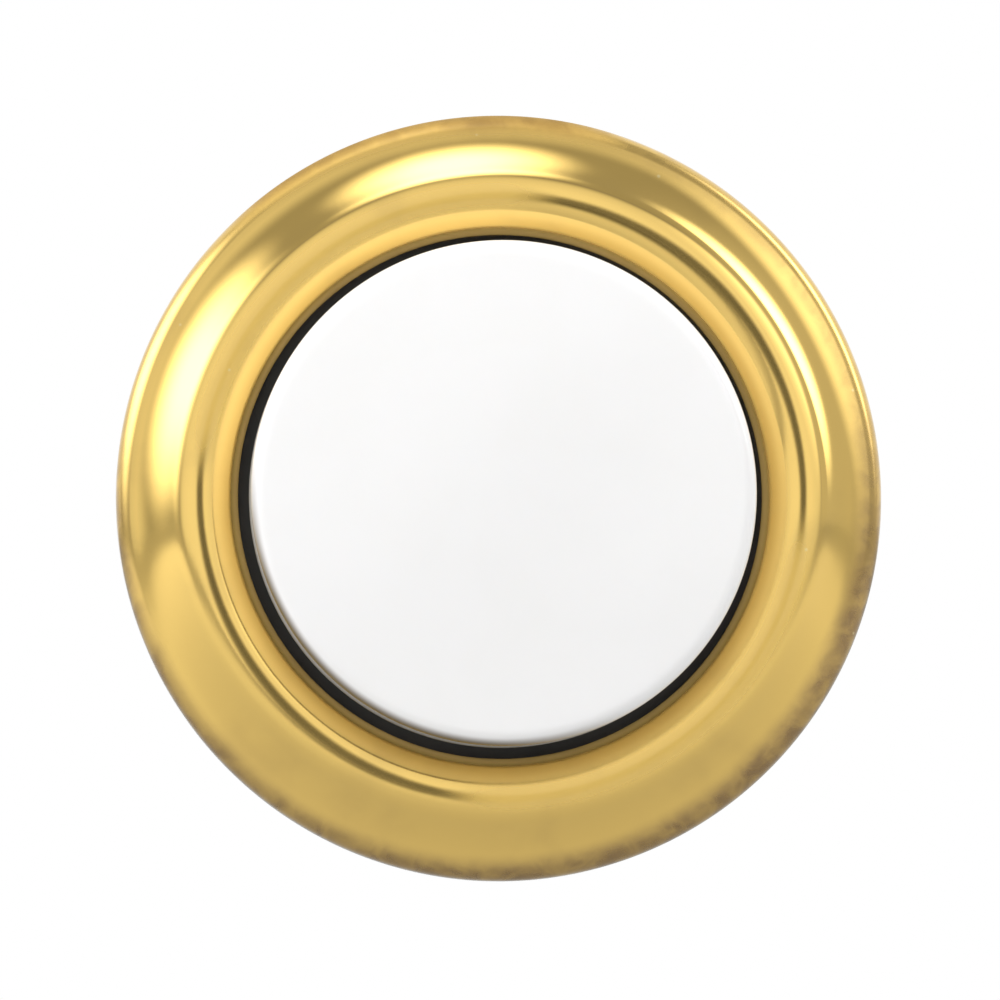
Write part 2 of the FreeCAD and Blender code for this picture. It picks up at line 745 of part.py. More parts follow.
def make_terminal(document, size, side):
    """Half-moon terminal plate with holes for its screw and its contact rivet."""
    body = new_body(document, f"{side}_terminal")
    plate = attach_across(body, f"{side}_plate_outline", size.disc_rear_depth)
    radius = size.plate_radius
    edge = size.plate_edge
    half_angle = math.acos(edge.value / radius.value)
    circle = Part.Circle(FreeCAD.Vector(), FreeCAD.Vector(0, 0, 1), radius.value)
    arc = plate.addGeometry(Part.ArcOfCircle(circle, -half_angle, half_angle))
    ends = plate.Geometry[arc]
    chord = plate.addGeometry(Part.LineSegment(ends.EndPoint, ends.StartPoint))
    plate.addConstraint(Sketcher.Constraint("Coincident", arc, 3, -1, 1))
    plate.addConstraint(Sketcher.Constraint("Coincident", arc, 2, chord, 1))
    plate.addConstraint(Sketcher.Constraint("Coincident", arc, 1, chord, 2))
    plate.addConstraint(Sketcher.Constraint("Vertical", chord))
    held = plate.addConstraint(Sketcher.Constraint("Radius", arc, radius.value))
    plate.setExpression(f"Constraints[{held}]", radius.formula)
    held = plate.addConstraint(Sketcher.Constraint("DistanceX", -1, 1, chord, 1, edge.value))
    plate.setExpression(f"Constraints[{held}]", edge.formula)
    extrude(body, plate, size.plate_thickness, "plate", back=True)

    screw = attach_across(body, f"{side}_screw_circle", size.disc_rear_depth)
    draw_circle(screw, (size.screw_offset, 0), size.screw_hole_radius)
    extrude(body, screw, size.plate_thickness, "screw_hole", cut=True)
    turn = size.contact_angle * -1
    rivet = attach_across(body, f"{side}_rivet_circle", size.disc_rear_depth, turn=turn)
    draw_circle(rivet, (size.stem_middle_radius, 0), size.contact_hole_radius)
    extrude(body, rivet, size.plate_thickness, "rivet_hole", cut=True)
    turn_about_axis(body, SIDES[side])
    return body


def make_terminal_screw(document, size, side):
    """Slotted terminal screw with a low crowned head that clamps the bell wire."""
    body = new_body(document, f"{side}_terminal_screw")
    section = attach_sketch(body, f"{side}_screw_section", across=size.screw_offset)
    head_edge = size.plate_rear_depth + size.screw_head_height - size.screw_crown
    head_top = size.plate_rear_depth + size.screw_head_height
    draw_outline(
        section,
        [
            (0, size.plate_rear_depth - size.screw_length),
            (size.screw_radius, size.plate_rear_depth - size.screw_length),
            (size.screw_radius, size.plate_rear_depth),
            (size.screw_head_radius, size.plate_rear_depth),
            (size.screw_head_radius, head_edge, DOME),
            (0, head_top),
        ],
    )
    spin(body, section)
    slot = attach_across(body, f"{side}_slot_outline", head_top, across=size.screw_offset)
    half_slot = size.screw_slot_width * 0.5
    draw_box(slot, (-size.screw_head_radius, -half_slot), (size.screw_head_radius, half_slot))
    extrude(body, slot, size.screw_slot_depth, "driver_slot", cut=True, back=True)
    turn_about_axis(body, SIDES[side])
    return body


def make_lamp(document, size):
    """Small sealed lamp: a straight glass envelope with a round end."""
    body = new_body(document, "lamp")
    section = attach_sketch(body, "lamp_section")
    tip = size.lamp_base_depth - size.lamp_length
    draw_outline(
        section,
        [
            (0, tip, DOME),
            (size.lamp_radius, tip + size.lamp_radius),
            (size.lamp_radius, size.lamp_base_depth),
            (0, size.lamp_base_depth),
        ],
    )
    spin(body, section)
    return body


def make_lamp_holder(document, size):
    """Moulded sleeve round the lamp, with a foot that the return spring holds down."""
    body = new_body(document, "lamp_holder")
    section = attach_sketch(body, "holder_section")
    pocket = size.holder_pocket_radius
    draw_outline(
        section,
        [
            (0, size.lamp_base_depth),
            (pocket, size.lamp_base_depth),
            (pocket, size.holder_top_depth),
            (size.holder_radius, size.holder_top_depth),
            (size.holder_radius, size.foot_top_depth),
            (size.holder_foot_radius, size.foot_top_depth),
            (size.holder_foot_radius, size.recess_depth),
            (0, size.recess_depth),
        ],
    )
    spin(body, section)
    turn = size.contact_angle * -1
    hole = attach_across(body, "lead_hole_circle", size.recess_depth, turn=turn)
    draw_circle(hole, (size.lead_offset, 0), size.lead_radius + size.lead_clearance)
    depth = size.recess_depth - size.lamp_base_depth
    lead_hole = extrude(body, hole, depth, "lead_hole", cut=True, back=True)
    repeat_round(body, [lead_hole], 2, "lead_holes")
    return body


def make_lamp_lead(document, size, side):
    """Bare lead from the lamp's base, bent outward in its groove to the contact's shank."""
    body = new_body(document, f"{side}_lamp_lead")
    profile = attach_across(body, f"{side}_lead_circle", size.lamp_base_depth)
    draw_circle(profile, (size.lead_offset, 0), size.lead_radius)
    path = attach_sketch(body, f"{side}_lead_path")
    draw_outline(
        path,
        [
            (size.lead_offset, size.lamp_base_depth),
            (size.lead_offset, size.lead_depth, size.lead_bend_radius),
            (size.lead_end, size.lead_depth),
        ],
        closed=False,
    )
    lead = body.newObject("PartDesign::AdditivePipe", "lead")
    lead.Profile = profile
    lead.Spine = path
    turn_about_axis(body, size.contact_angle + SIDES[side])
    return body


def make_return_spring(document, size):
    """Coil spring between the lamp holder's foot and the underside of the cap."""
    body = new_body(document, "return_spring")
    wire = attach_sketch(body, "wire_circle")
    rear = size.foot_top_depth - size.wire_radius
    draw_circle(wire, (size.spring_radius, rear), size.wire_radius)
    coil = body.newObject("PartDesign::AdditiveHelix", "coil")
    coil.Profile = wire
    coil.ReferenceAxis = (wire, ["V_Axis"])
    coil.Mode = "height-turns-angle"
    height = rear + size.cap_under_height - size.wire_radius
    bind(coil, "Height", height)
    bind(coil, "Turns", size.spring_turns)
    coil.Reversed = True
    return body


def make_sub_parts(document, size):
    """Make every sub-part of the push button."""
    made = [
        make_rim(document, size),
        make_housing(document, size),
        make_button(document, size),
        make_return_spring(document, size),
        make_contact_bridge(document, size),
        make_terminal_block(document, size),
        make_lamp(document, size),
        make_lamp_holder(document, size),
    ]
    for side in SIDES:
        made.append(make_contact(document, size, side))
        made.append(make_terminal(document, size, side))
        made.append(make_terminal_screw(document, size, side))
        made.append(make_lamp_lead(document, size, side))
    return made


def check_document(document, sub_parts):
    """Stop if any object failed or any sub-part has no sound solid."""
    for item in document.Objects:
        if "Invalid" in item.State or "Error" in item.State:
            raise RuntimeError(f"{item.Name} did not compute: {item.State}")
    for part in sub_parts:
        shape = part.Shape
        if shape.isNull() or not shape.isValid() or len(shape.Solids) != 1:
            raise RuntimeError(f"{part.Label} is not one valid solid")


def main():
    document = FreeCAD.newDocument("push_button")
    size = fill_sheet(document)
    sub_parts = make_sub_parts(document, size)
    document.recompute()
    check_document(document, sub_parts)
    os.makedirs("parts", exist_ok=True)
    for part in sub_parts:
        part.Shape.exportStep(os.path.join("parts", f"{part.Label}.step"))
        print(f"{part.Label}: {part.Shape.Volume:.2f} mm3")


main()
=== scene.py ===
"""Looks of the recessed doorbell push button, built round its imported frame.

The axis is Y: the wall plane is y = 0, the button faces -Y and the barrel runs to +Y. Sizes are in
millimetres until a mesh is made. A depth is measured along +Y, so what stands in front of the wall
has a negative depth. A ring angle is measured in the XZ plane from +X towards +Z.
"""

import json
import logging
import math
from dataclasses import dataclass
from enum import Enum
from typing import Iterable, Mapping, Sequence

import bmesh
import bpy
from mathutils import Matrix, Vector


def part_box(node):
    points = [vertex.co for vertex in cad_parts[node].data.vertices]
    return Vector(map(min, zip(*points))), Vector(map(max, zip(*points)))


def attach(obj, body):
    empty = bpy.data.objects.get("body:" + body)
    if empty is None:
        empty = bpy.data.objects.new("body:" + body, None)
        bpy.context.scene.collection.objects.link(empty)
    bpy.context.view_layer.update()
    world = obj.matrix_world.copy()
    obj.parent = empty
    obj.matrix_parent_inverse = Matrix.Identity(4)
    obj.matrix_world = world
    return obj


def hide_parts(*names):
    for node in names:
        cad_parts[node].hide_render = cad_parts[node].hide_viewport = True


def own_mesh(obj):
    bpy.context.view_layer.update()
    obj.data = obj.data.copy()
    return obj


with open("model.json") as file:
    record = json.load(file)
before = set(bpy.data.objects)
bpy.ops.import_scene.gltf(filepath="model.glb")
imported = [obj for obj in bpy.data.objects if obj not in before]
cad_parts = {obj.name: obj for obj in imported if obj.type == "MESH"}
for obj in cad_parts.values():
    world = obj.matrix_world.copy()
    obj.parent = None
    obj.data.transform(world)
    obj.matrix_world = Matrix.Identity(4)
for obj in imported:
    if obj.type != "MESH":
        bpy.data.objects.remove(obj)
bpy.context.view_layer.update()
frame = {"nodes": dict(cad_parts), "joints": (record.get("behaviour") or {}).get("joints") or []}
MM = 0.001
TINY = 1e-6
LOG = logging.getLogger("push_button")

Colour = tuple[float, float, float]
Point = tuple[float, float]
Span = tuple[float, float]


class Carving(Enum):
    """What a tool does to the piece that it meets."""

    CUT = "DIFFERENCE"
    JOIN = "UNION"


class Body(Enum):
    """The bodies that pieces ride on."""

    FIXED = "base"
    PUSHED = "button"


class Value:
    """A number, colour or vector that varies over a surface: one output socket of its nodes."""

    def __init__(self, graph: "Graph", socket: bpy.types.NodeSocket) -> None:
        """Wrap an output socket of a graph."""
        self.graph = graph
        self.socket = socket

    def _maths(self, operation: str, *operands: "Value | float") -> "Value":
        """Add one Math node over the operands."""
        sockets = dict(enumerate(operands))
        return self.graph.node("ShaderNodeMath", {"operation": operation}, sockets)

    def __add__(self, other: "Value | float") -> "Value":
        """Sum of two values."""
        return self._maths("ADD", self, other)

    def __sub__(self, other: "Value | float") -> "Value":
        """This value less another."""
        return self._maths("SUBTRACT", self, other)

    def __rsub__(self, other: "Value | float") -> "Value":
        """Another value less this one."""
        return self._maths("SUBTRACT", other, self)

    def __mul__(self, other: "Value | float") -> "Value":
        """Product of two values."""
        return self._maths("MULTIPLY", self, other)

    def __truediv__(self, other: "Value | float") -> "Value":
        """This value divided by another."""
        return self._maths("DIVIDE", self, other)

    def __pow__(self, other: "Value | float") -> "Value":
        """This value to a power."""
        return self._maths("POWER", self, other)

    def __abs__(self) -> "Value":
        """The value without its sign."""
        return self._maths("ABSOLUTE", self)

    __radd__ = __add__
    __rmul__ = __mul__

    def at_most(self, limit: "Value | float") -> "Value":
        """The value, held under a limit."""
        return self._maths("MINIMUM", self, limit)

    def rise(self, start: float, stop: float) -> "Value":
        """A smooth step from 0 where the value is start to 1 where it is stop."""
        settings = {"interpolation_type": "SMOOTHSTEP"}
        return self.graph.node("ShaderNodeMapRange", settings, {"Value": self, 1: start, 2: stop})

    def near(self, middle: float, reach: float) -> "Value":
        """1 where the value is at the middle, falling smoothly to 0 at a reach to either side."""
        return 1.0 - abs(self - middle).rise(0.0, reach)


class Graph:
    """The nodes of one material, of a lamp or of the world."""

    def __init__(self, owner: bpy.types.Material | bpy.types.Light | bpy.types.World) -> None:
        """Start with no nodes.

        Args:
            owner: What the nodes belong to.
        """
        owner.use_nodes = True
        self.tree = owner.node_tree
        self.tree.nodes.clear()

    def node(
        self,
        kind: str,
        settings: Mapping[str, object] | None = None,
        sockets: Mapping[str | int, object] | None = None,
        output: str | int = 0,
    ) -> Value:
        """Add a node.

        Args:
            kind: The node's type.
            settings: Its properties, set before anything else.
            sockets: Its inputs by name or number, each a constant or a value to link.
            output: The output that is wanted.

        Returns:
            The wanted output.
        """
        node = self.tree.nodes.new(kind)
        for name, setting in (settings or {}).items():
            setattr(node, name, setting)
        for name, entry in (sockets or {}).items():
            if isinstance(entry, Value):
                self.tree.links.new(entry.socket, node.inputs[name])
            elif isinstance(entry, tuple) and node.inputs[name].type == "RGBA":
                node.inputs[name].default_value = (*entry, 1.0)
            else:
                node.inputs[name].default_value = entry
        outputs = node.outputs
        return Value(self, outputs[output] if len(outputs) else None)

    def place(self) -> Value:
        """The place on the piece, in millimetres."""
        metres = self.node("ShaderNodeTexCoord", output="Object")
        return self.node("ShaderNodeVectorMath", {"operation": "SCALE"}, {0: metres, 3: 1.0 / MM})

    def stretch(self, place: Value, by: Colour) -> Value:
        """A place with its three parts multiplied by three numbers."""
        return self.node("ShaderNodeVectorMath", {"operation": "MULTIPLY"}, {0: place, 1: by})

    def parts(self, place: Value) -> tuple[Value, Value, Value]:
        """The three parts of a place."""
        split = self.node("ShaderNodeSeparateXYZ", sockets={0: place}).socket.node
        return tuple(Value(self, socket) for socket in split.outputs)

    def off_axis(self, place: Value) -> Value:
        """The distance from the axis of the barrel."""
        across, _, up = self.parts(place)
        return (across * across + up * up) ** 0.5

    def toward(self, place: Value, angle: float) -> Value:
        """How much a place lies to one side of the axis.

        Args:
            place: The place.
            angle: The side's ring angle in degrees.

        Returns:
            1 on that side, 0 at right angles to it and -1 opposite.
        """
        right, upward = ring_point(1.0, angle)
        across, _, up = self.parts(place)
        return (across * right + up * upward) / self.off_axis(place)

    def noise(self, place: Value, grain: float, detail: float = 2.0, twist: float = 0.0) -> Value:
        """Cloudy noise from 0 to 1 whose blobs are about a grain across, in millimetres."""
        sockets = {"Vector": place, "Scale": 1.0 / grain, "Detail": detail, "Distortion": twist}
        return self.node("ShaderNodeTexNoise", sockets=sockets)

    def spots(self, place: Value, grain: float) -> Value:
        """Distance to the nearest of points that lie about a grain apart."""
        return self.node("ShaderNodeTexVoronoi", sockets={"Vector": place, "Scale": 1.0 / grain})

    def mix(self, share: Value | float, first: Value | Colour, second: Value | Colour) -> Value:
        """The first colour, with a share of the second."""
        sockets = {0: share, 6: first, 7: second}
        return self.node("ShaderNodeMix", {"data_type": "RGBA"}, sockets, 2)

    def bump(self, height: Value, depth: float) -> Value:
        """The normal of a relief whose height from 0 to 1 is a depth in millimetres."""
        return self.node("ShaderNodeBump", sockets={"Distance": depth * MM, "Height": height})

    def surface(self, **sockets: Value | Colour | float) -> None:
        """End the graph in a Principled surface.

        Args:
            sockets: Its inputs, named with underscores, each a constant or a value to link.
        """
        named = {name.replace("_", " "): entry for name, entry in sockets.items()}
        shader = self.node("ShaderNodeBsdfPrincipled", sockets=named)
        self.node("ShaderNodeOutputMaterial", sockets={"Surface": shader})


@dataclass(frozen=True)
class Finish:
    """A surface finish: its own name and the record's material slot that it belongs to.

    A side is a ring angle in degrees. A span holds the two places or values between which a mask
    goes from 0 to 1. Sizes, radii and depths are in millimetres.
    """

    name: str
    slot: str

    def build(self, graph: Graph) -> None:
        """Fill a material's graph."""
        raise NotImplementedError

    def material(self) -> bpy.types.Material:
        """Give the finish's material, and make it the first time.

        Returns:
            The one material that all pieces of this finish share.
        """
        made = bpy.data.materials.get(self.name)
        if made is None:
            made = bpy.data.materials.new(self.name)
            self.build(Graph(made))
        return made


@dataclass(frozen=True)
class PolishedBrass(Finish):
    """Polished and lacquered brass, mottled a little, with painted shade on the bevel into the
    opening, along the crease and on the lower side of its edge.
    """

    bright: Colour = (0.95, 0.645, 0.165)
    # dark tone of the tarnish, also used for painted shade on the edge's lower side
    darkened_tone: Colour = (0.32, 0.2, 0.075)
    pale: Colour = (0.98, 0.82, 0.42)
    # brown of the painted shade on the bevel into the opening and along the crease
    shade_brown: Colour = (0.34, 0.25, 0.15)
    roughness: float = 0.1
    dulling: float = 0.3
    cloud_size: float = 2.6
    mottle_size: float = 0.8
    grain_size: float = 0.07
    speck_spacing: float = 1.5
    speck_span: Span = (0.03, 0.06)
    cloud_span: Span = (0.5, 0.8)
    mottle_span: Span = (0.3, 0.7)
    bright_side: float = 38.0
    bright_span: Span = (0.35, 0.62)
    rubbed_side: float = 103.0
    rubbed_span: Span = (0.82, 0.93)
    edge_span: Span = (11.85, 12.6)
    edge_lean: float = 0.02
    upper_span: Span = (-4.0, 6.0)
    wall_span: Span = (8.77, 9.03)
    crown_radius: float = 10.0
    crown_reach: float = 0.8
    crease_radius: float = 10.62
    crease_reach: float = 0.04
    crease_span: Span = (-4.0, 3.0)
    relief: float = 0.003

    def build(self, graph: Graph) -> None:
        """Clouds of tone, a tarnished edge with painted shade on its lower side, painted shade on
        the opening's bevel and along the crease, pale specks and a faintly wavy polish.

        Args:
            graph: The material's nodes.
        """
        place = graph.place()
        radius = graph.off_axis(place)
        across, _, up = graph.parts(place)
        clouds = graph.noise(place, self.cloud_size, 3.0)
        mottle = graph.noise(place, self.mottle_size, 3.0, 0.6)
        grain = graph.noise(place, self.grain_size, 1.0)
        specks = 1.0 - graph.spots(place, self.speck_spacing).rise(*self.speck_span)
        facing = graph.toward(place, self.bright_side)
        worn = 1.0 - (facing * facing).rise(*self.bright_span)
        dull = worn * radius.near(self.crown_radius, self.crown_reach)
        # painted shade: the bevel into the opening is tinted brown and made less metallic
        wall = 1.0 - radius.rise(*self.wall_span)
        spread = radius + across * self.edge_lean + clouds * 0.15
        edge = spread.rise(*self.edge_span)
        # painted shade: the edge's mottled tarnish is darker on the lower side than on the upper
        # side
        lower = 1.0 - up.rise(*self.upper_span) * 0.65
        patches_and_shade = (0.62 + mottle.rise(*self.mottle_span) * 0.36) * lower
        rubbed = edge * graph.toward(place, self.rubbed_side).rise(*self.rubbed_span)
        age_and_shade = clouds.rise(*self.cloud_span) * 0.15 + edge * patches_and_shade + rubbed * 0.4
        toned = graph.mix(age_and_shade.at_most(1.0), self.bright, self.darkened_tone)
        # painted shade: a thin darker line along the crease, on the upper side only
        crease = radius.near(self.crease_radius, self.crease_reach) * up.rise(*self.crease_span)
        # the painted shade of the bevel and the crease mixes in the brown and thins the lacquer
        # there
        painted_shade = (wall * 0.5 + crease * 0.2).at_most(1.0)
        shaded = graph.mix(painted_shade, toned, self.shade_brown)
        height = clouds * 0.6 + mottle * 0.25 + grain * 0.01
        graph.surface(
            Base_Color=graph.mix(specks * 0.6, shaded, self.pale),
            Metallic=1.0 - wall * 0.8,
            Roughness=self.roughness + dull * self.dulling + edge * mottle * 0.3 + rubbed * 0.4,
            Coat_Weight=(1.0 - painted_shade) * (1.0 - rubbed),
            Coat_Roughness=self.roughness,
            Normal=graph.bump(height, self.relief),
        )


@dataclass(frozen=True)
class Moulding(Finish):
    """Moulded plastic: two near tones, a satin surface and the fine grain of its mould."""

    tone: Colour
    second: Colour
    roughness: float
    flow_size: float = 3.5
    flow_stretch: Colour = (1.0, 0.35, 1.0)
    flow_span: Span = (0.3, 0.75)
    grain_size: float = 0.12
    touch_size: float = 1.3
    touch_span: Span = (0.55, 0.8)
    dusting: float = 0.15
    relief: float = 0.002

    def build(self, graph: Graph) -> None:
        """Drifting tone, mould grain and a few dull touches.

        Args:
            graph: The material's nodes.
        """
        place = graph.place()
        flow = graph.noise(graph.stretch(place, self.flow_stretch), self.flow_size, 2.0, 0.6)
        grain = graph.noise(place, self.grain_size, 3.0)
        touch = graph.noise(place, self.touch_size, 3.0).rise(*self.touch_span)
        graph.surface(
            Base_Color=graph.mix(flow.rise(*self.flow_span), self.tone, self.second),
            Roughness=self.roughness + grain * 0.08 + touch * self.dusting,
            Normal=graph.bump(grain * 0.6 + flow * 0.4, self.relief),
        )


@dataclass(frozen=True)
class FilledResin(Finish):
    """Pressed resin with a fine filler that shows as darker flecks."""

    tone: Colour = (0.13, 0.055, 0.025)
    fleck: Colour = (0.05, 0.022, 0.012)
    roughness: float = 0.32
    fleck_spacing: float = 0.28
    fleck_stretch: Colour = (1.0, 0.6, 1.0)
    fleck_span: Span = (0.1, 0.32)
    cloud_size: float = 1.8
    cloud_span: Span = (0.4, 0.7)
    relief: float = 0.004

    def build(self, graph: Graph) -> None:
        """Flecks of filler in a glossy pressed surface.

        Args:
            graph: The material's nodes.
        """
        place = graph.place()
        spots = graph.spots(graph.stretch(place, self.fleck_stretch), self.fleck_spacing)
        flecks = 1.0 - spots.rise(*self.fleck_span)
        clouds = graph.noise(place, self.cloud_size, 3.0)
        share = (flecks * 0.7 + clouds.rise(*self.cloud_span) * 0.35).at_most(1.0)
        graph.surface(
            Base_Color=graph.mix(share, self.tone, self.fleck),
            Roughness=self.roughness + clouds * 0.12,
            Normal=graph.bump(clouds * 0.7 + flecks * 0.3, self.relief),
        )


@dataclass(frozen=True)
class WorkedMetal(Finish):
    """Bare or plated metal with the drawn marks of its making and a little dulling."""

    tone: Colour
    dulled: Colour
    roughness: float
    mark_stretch: Colour = (1.0, 1.0, 6.0)
    mark_size: float = 0.35
    cloud_size: float = 1.1
    cloud_span: Span = (0.42, 0.72)
    relief: float = 0.003

    def build(self, graph: Graph) -> None:
        """Fine marks along one direction, with dull clouds over them.

        Args:
            graph: The material's nodes.
        """
        place = graph.place()
        marks = graph.noise(graph.stretch(place, self.mark_stretch), self.mark_size, 3.0)
        clouds = graph.noise(place, self.cloud_size, 4.0, 0.5).rise(*self.cloud_span)
        graph.surface(
            Base_Color=graph.mix(clouds * 0.7 + marks * 0.2, self.tone, self.dulled),
            Metallic=1.0,
            Roughness=self.roughness + marks * 0.12 + clouds * 0.15,
            Normal=graph.bump(marks, self.relief),
        )


@dataclass(frozen=True)
class LampGlass(Finish):
    """Clear glass of a small lamp, a little smoked near its base."""

    clear: Colour = (0.96, 0.97, 0.96)
    smoked: Colour = (0.55, 0.52, 0.47)
    smoke_span: Span = (10.4, 13.4)
    ripple_size: float = 1.2
    ripple_stretch: Colour = (1.0, 0.25, 1.0)
    relief: float = 0.006

    def build(self, graph: Graph) -> None:
        """Glass whose colour darkens towards the base, with a slightly drawn surface.

        Args:
            graph: The material's nodes.
        """
        place = graph.place()
        smoke = graph.parts(place)[1].rise(*self.smoke_span)
        ripple = graph.noise(graph.stretch(place, self.ripple_stretch), self.ripple_size, 2.0)
        graph.surface(
            Base_Color=graph.mix(smoke, self.clear, self.smoked),
            Roughness=ripple * 0.04,
            IOR=1.5,
            Transmission_Weight=1.0,
            Normal=graph.bump(ripple, self.relief),
        )


@dataclass(frozen=True)
class CapPlastic(Finish):
    """White translucent cap plastic, with painted warm shade down its side and stem into the gap,
    and painted shade on its rounded edge at the lower left.
    """

    tone: Colour = (0.95, 0.945, 0.945)
    second: Colour = (0.94, 0.935, 0.93)
    # warm tone of the painted shade deeper in the gap
    gap_shade_tone: Colour = (0.8, 0.76, 0.66)
    # brown of the painted shade on the rounded edge at the lower left
    edge_shade_tone: Colour = (0.16, 0.12, 0.07)
    gap_shade_span: Span = (-3.6, -2.0)
    shaded_side: float = 235.0
    side_span: Span = (0.35, 0.9)
    corner_span: Span = (8.05, 8.32)
    skirt_span: Span = (-4.5, -4.2)
    flow_size: float = 3.5
    flow_span: Span = (0.3, 0.75)
    grain_size: float = 0.12
    touch_size: float = 1.3
    touch_span: Span = (0.55, 0.8)
    relief: float = 0.0015
    scatter: Colour = (1.0, 0.9, 0.8)
    scatter_depth: float = 0.4

    def build(self, graph: Graph) -> None:
        """Drifting white, painted warm shade down the skirt, painted shade on the edge at one side
        and the faint flow of the moulding.

        Args:
            graph: The material's nodes.
        """
        place = graph.place()
        depth = graph.parts(place)[1]
        flow = graph.noise(place, self.flow_size, 2.0, 0.6)
        grain = graph.noise(place, self.grain_size, 3.0)
        touch = graph.noise(place, self.touch_size, 3.0).rise(*self.touch_span)
        # painted shade: the rounded edge of the cap is browned on its lower-left side
        side = graph.toward(place, self.shaded_side).rise(*self.side_span)
        corner = graph.off_axis(place).rise(*self.corner_span)
        front = 1.0 - depth.rise(*self.skirt_span)
        clean = graph.mix(flow.rise(*self.flow_span), self.tone, self.second)
        # painted shade: the side and the stem turn warm and darker deeper into the gap
        darkened_tone = graph.mix(depth.rise(*self.gap_shade_span), clean, self.gap_shade_tone)
        graph.surface(
            Base_Color=graph.mix(side * corner * front, darkened_tone, self.edge_shade_tone),
            Roughness=0.1 + grain * 0.05 + touch * 0.02,
            Subsurface_Weight=0.1,
            Subsurface_Radius=self.scatter,
            Subsurface_Scale=self.scatter_depth * MM,
            Normal=graph.bump(grain * 0.6 + flow * 0.4, self.relief),
        )


BRASS = PolishedBrass("polished_brass", "rim_brass")
WHITE = CapPlastic("white_cap", "button_white")
BLACK = Moulding(
    "black_moulding", "housing_black", (0.036, 0.034, 0.029), (0.047, 0.044, 0.038), 0.4
)
NYLON = Moulding(
    "nylon_sleeve", "holder_white", (0.74, 0.72, 0.66), (0.69, 0.66, 0.6), 0.42
)
RESIN = FilledResin("brown_resin", "block_brown")
PLATE = WorkedMetal(
    "terminal_plate", "terminal_brass", (0.78, 0.58, 0.26), (0.5, 0.37, 0.18), 0.26
)
ZINC = WorkedMetal("zinc_screw", "screw_steel", (0.68, 0.69, 0.7), (0.45, 0.45, 0.44), 0.28)
SILVER = WorkedMetal(
    "silver_contact", "contact_silver", (0.86, 0.85, 0.82), (0.55, 0.52, 0.47), 0.2
)
BRONZE = WorkedMetal(
    "spring_bronze", "bridge_bronze", (0.74, 0.46, 0.25), (0.42, 0.26, 0.15), 0.24
)
SPRING = WorkedMetal(
    "spring_wire", "spring_steel", (0.52, 0.53, 0.54), (0.3, 0.3, 0.31), 0.22
)
TINNED = WorkedMetal("tinned_wire", "lead_wire", (0.7, 0.7, 0.69), (0.5, 0.5, 0.48), 0.3)
TUNGSTEN = WorkedMetal(
    "tungsten_wire", "lead_wire", (0.3, 0.29, 0.28), (0.2, 0.19, 0.18), 0.4
)
GLASS = LampGlass("lamp_glass", "lamp_glass")


@dataclass(frozen=True)
class Corner:
    """A corner of a section, at a radius and a depth, with the bend that rounds it."""

    radius: float
    depth: float
    bend: float = 0.0


def ring_point(radius: float, angle: float) -> Point:
    """Across and up at a radius and a ring angle in degrees."""
    return radius * math.cos(math.radians(angle)), radius * math.sin(math.radians(angle))


def rounded(corners: Sequence[Corner], step: float = 12.0) -> list[Point]:
    """Round the corners of a closed section.

    Args:
        corners: The section's corners, in order.
        step: The largest angle between neighbouring runs of a bend, in degrees.

    Returns:
        Radius and depth of each point.
    """
    places = [Vector((corner.radius, corner.depth)) for corner in corners]
    points: list[Point] = []
    for i, corner in enumerate(corners):
        if corner.bend <= 0.0:
            points.append(tuple(places[i]))
            continue
        back = (places[i - 1] - places[i]).normalized()
        on = (places[(i + 1) % len(places)] - places[i]).normalized()
        half = back.angle(on) / 2.0
        centre = places[i] + (back + on).normalized() * (corner.bend / math.sin(half))
        first = places[i] + back * (corner.bend / math.tan(half)) - centre
        last = places[i] + on * (corner.bend / math.tan(half)) - centre
        turn = first.angle_signed(last)
        count = max(2, math.ceil(abs(math.degrees(turn)) / step))
        for k in range(count + 1):
            arm = first.copy()
            arm.rotate(Matrix.Rotation(-turn * k / count, 2))
            points.append(tuple(centre + arm))
    return points


def dome(top: float, edge: Corner, steps: int = 16) -> list[Corner]:
    """Corners along a dome.

    Args:
        top: The depth of the dome where it meets the axis.
        edge: The dome's outer corner, with the bend that rounds it.
        steps: How many runs the dome has.

    Returns:
        Corners from the axis to the edge.
    """
    sag = edge.depth - top
    sphere = (edge.radius**2 + sag**2) / (2.0 * sag)
    corners = []
    for k in range(steps):
        radius = edge.radius * k / steps
        fall = sphere - math.copysign(math.sqrt(sphere**2 - radius**2), sphere)
        corners.append(Corner(radius, top + fall))
    return corners + [edge]


def thickened(outline: Sequence[Point], wall: float) -> list[Point]:
    """Close an open outline into a section, with the wall on the side of less depth at its start.

    Args:
        outline: The outline's points.
        wall: The sheet's thickness.

    Returns:
        The closed section's points.
    """
    places = [Vector(point) for point in outline]
    inner = []
    for i, place in enumerate(places):
        along = places[min(i + 1, len(places) - 1)] - places[max(i - 1, 0)]
        side = Vector((along.y, -along.x)).normalized()
        inside = place + side * wall
        if min((inside - other).length for other in places) > wall * 0.985:
            inner.append(tuple(inside))
    return list(outline) + inner[::-1]


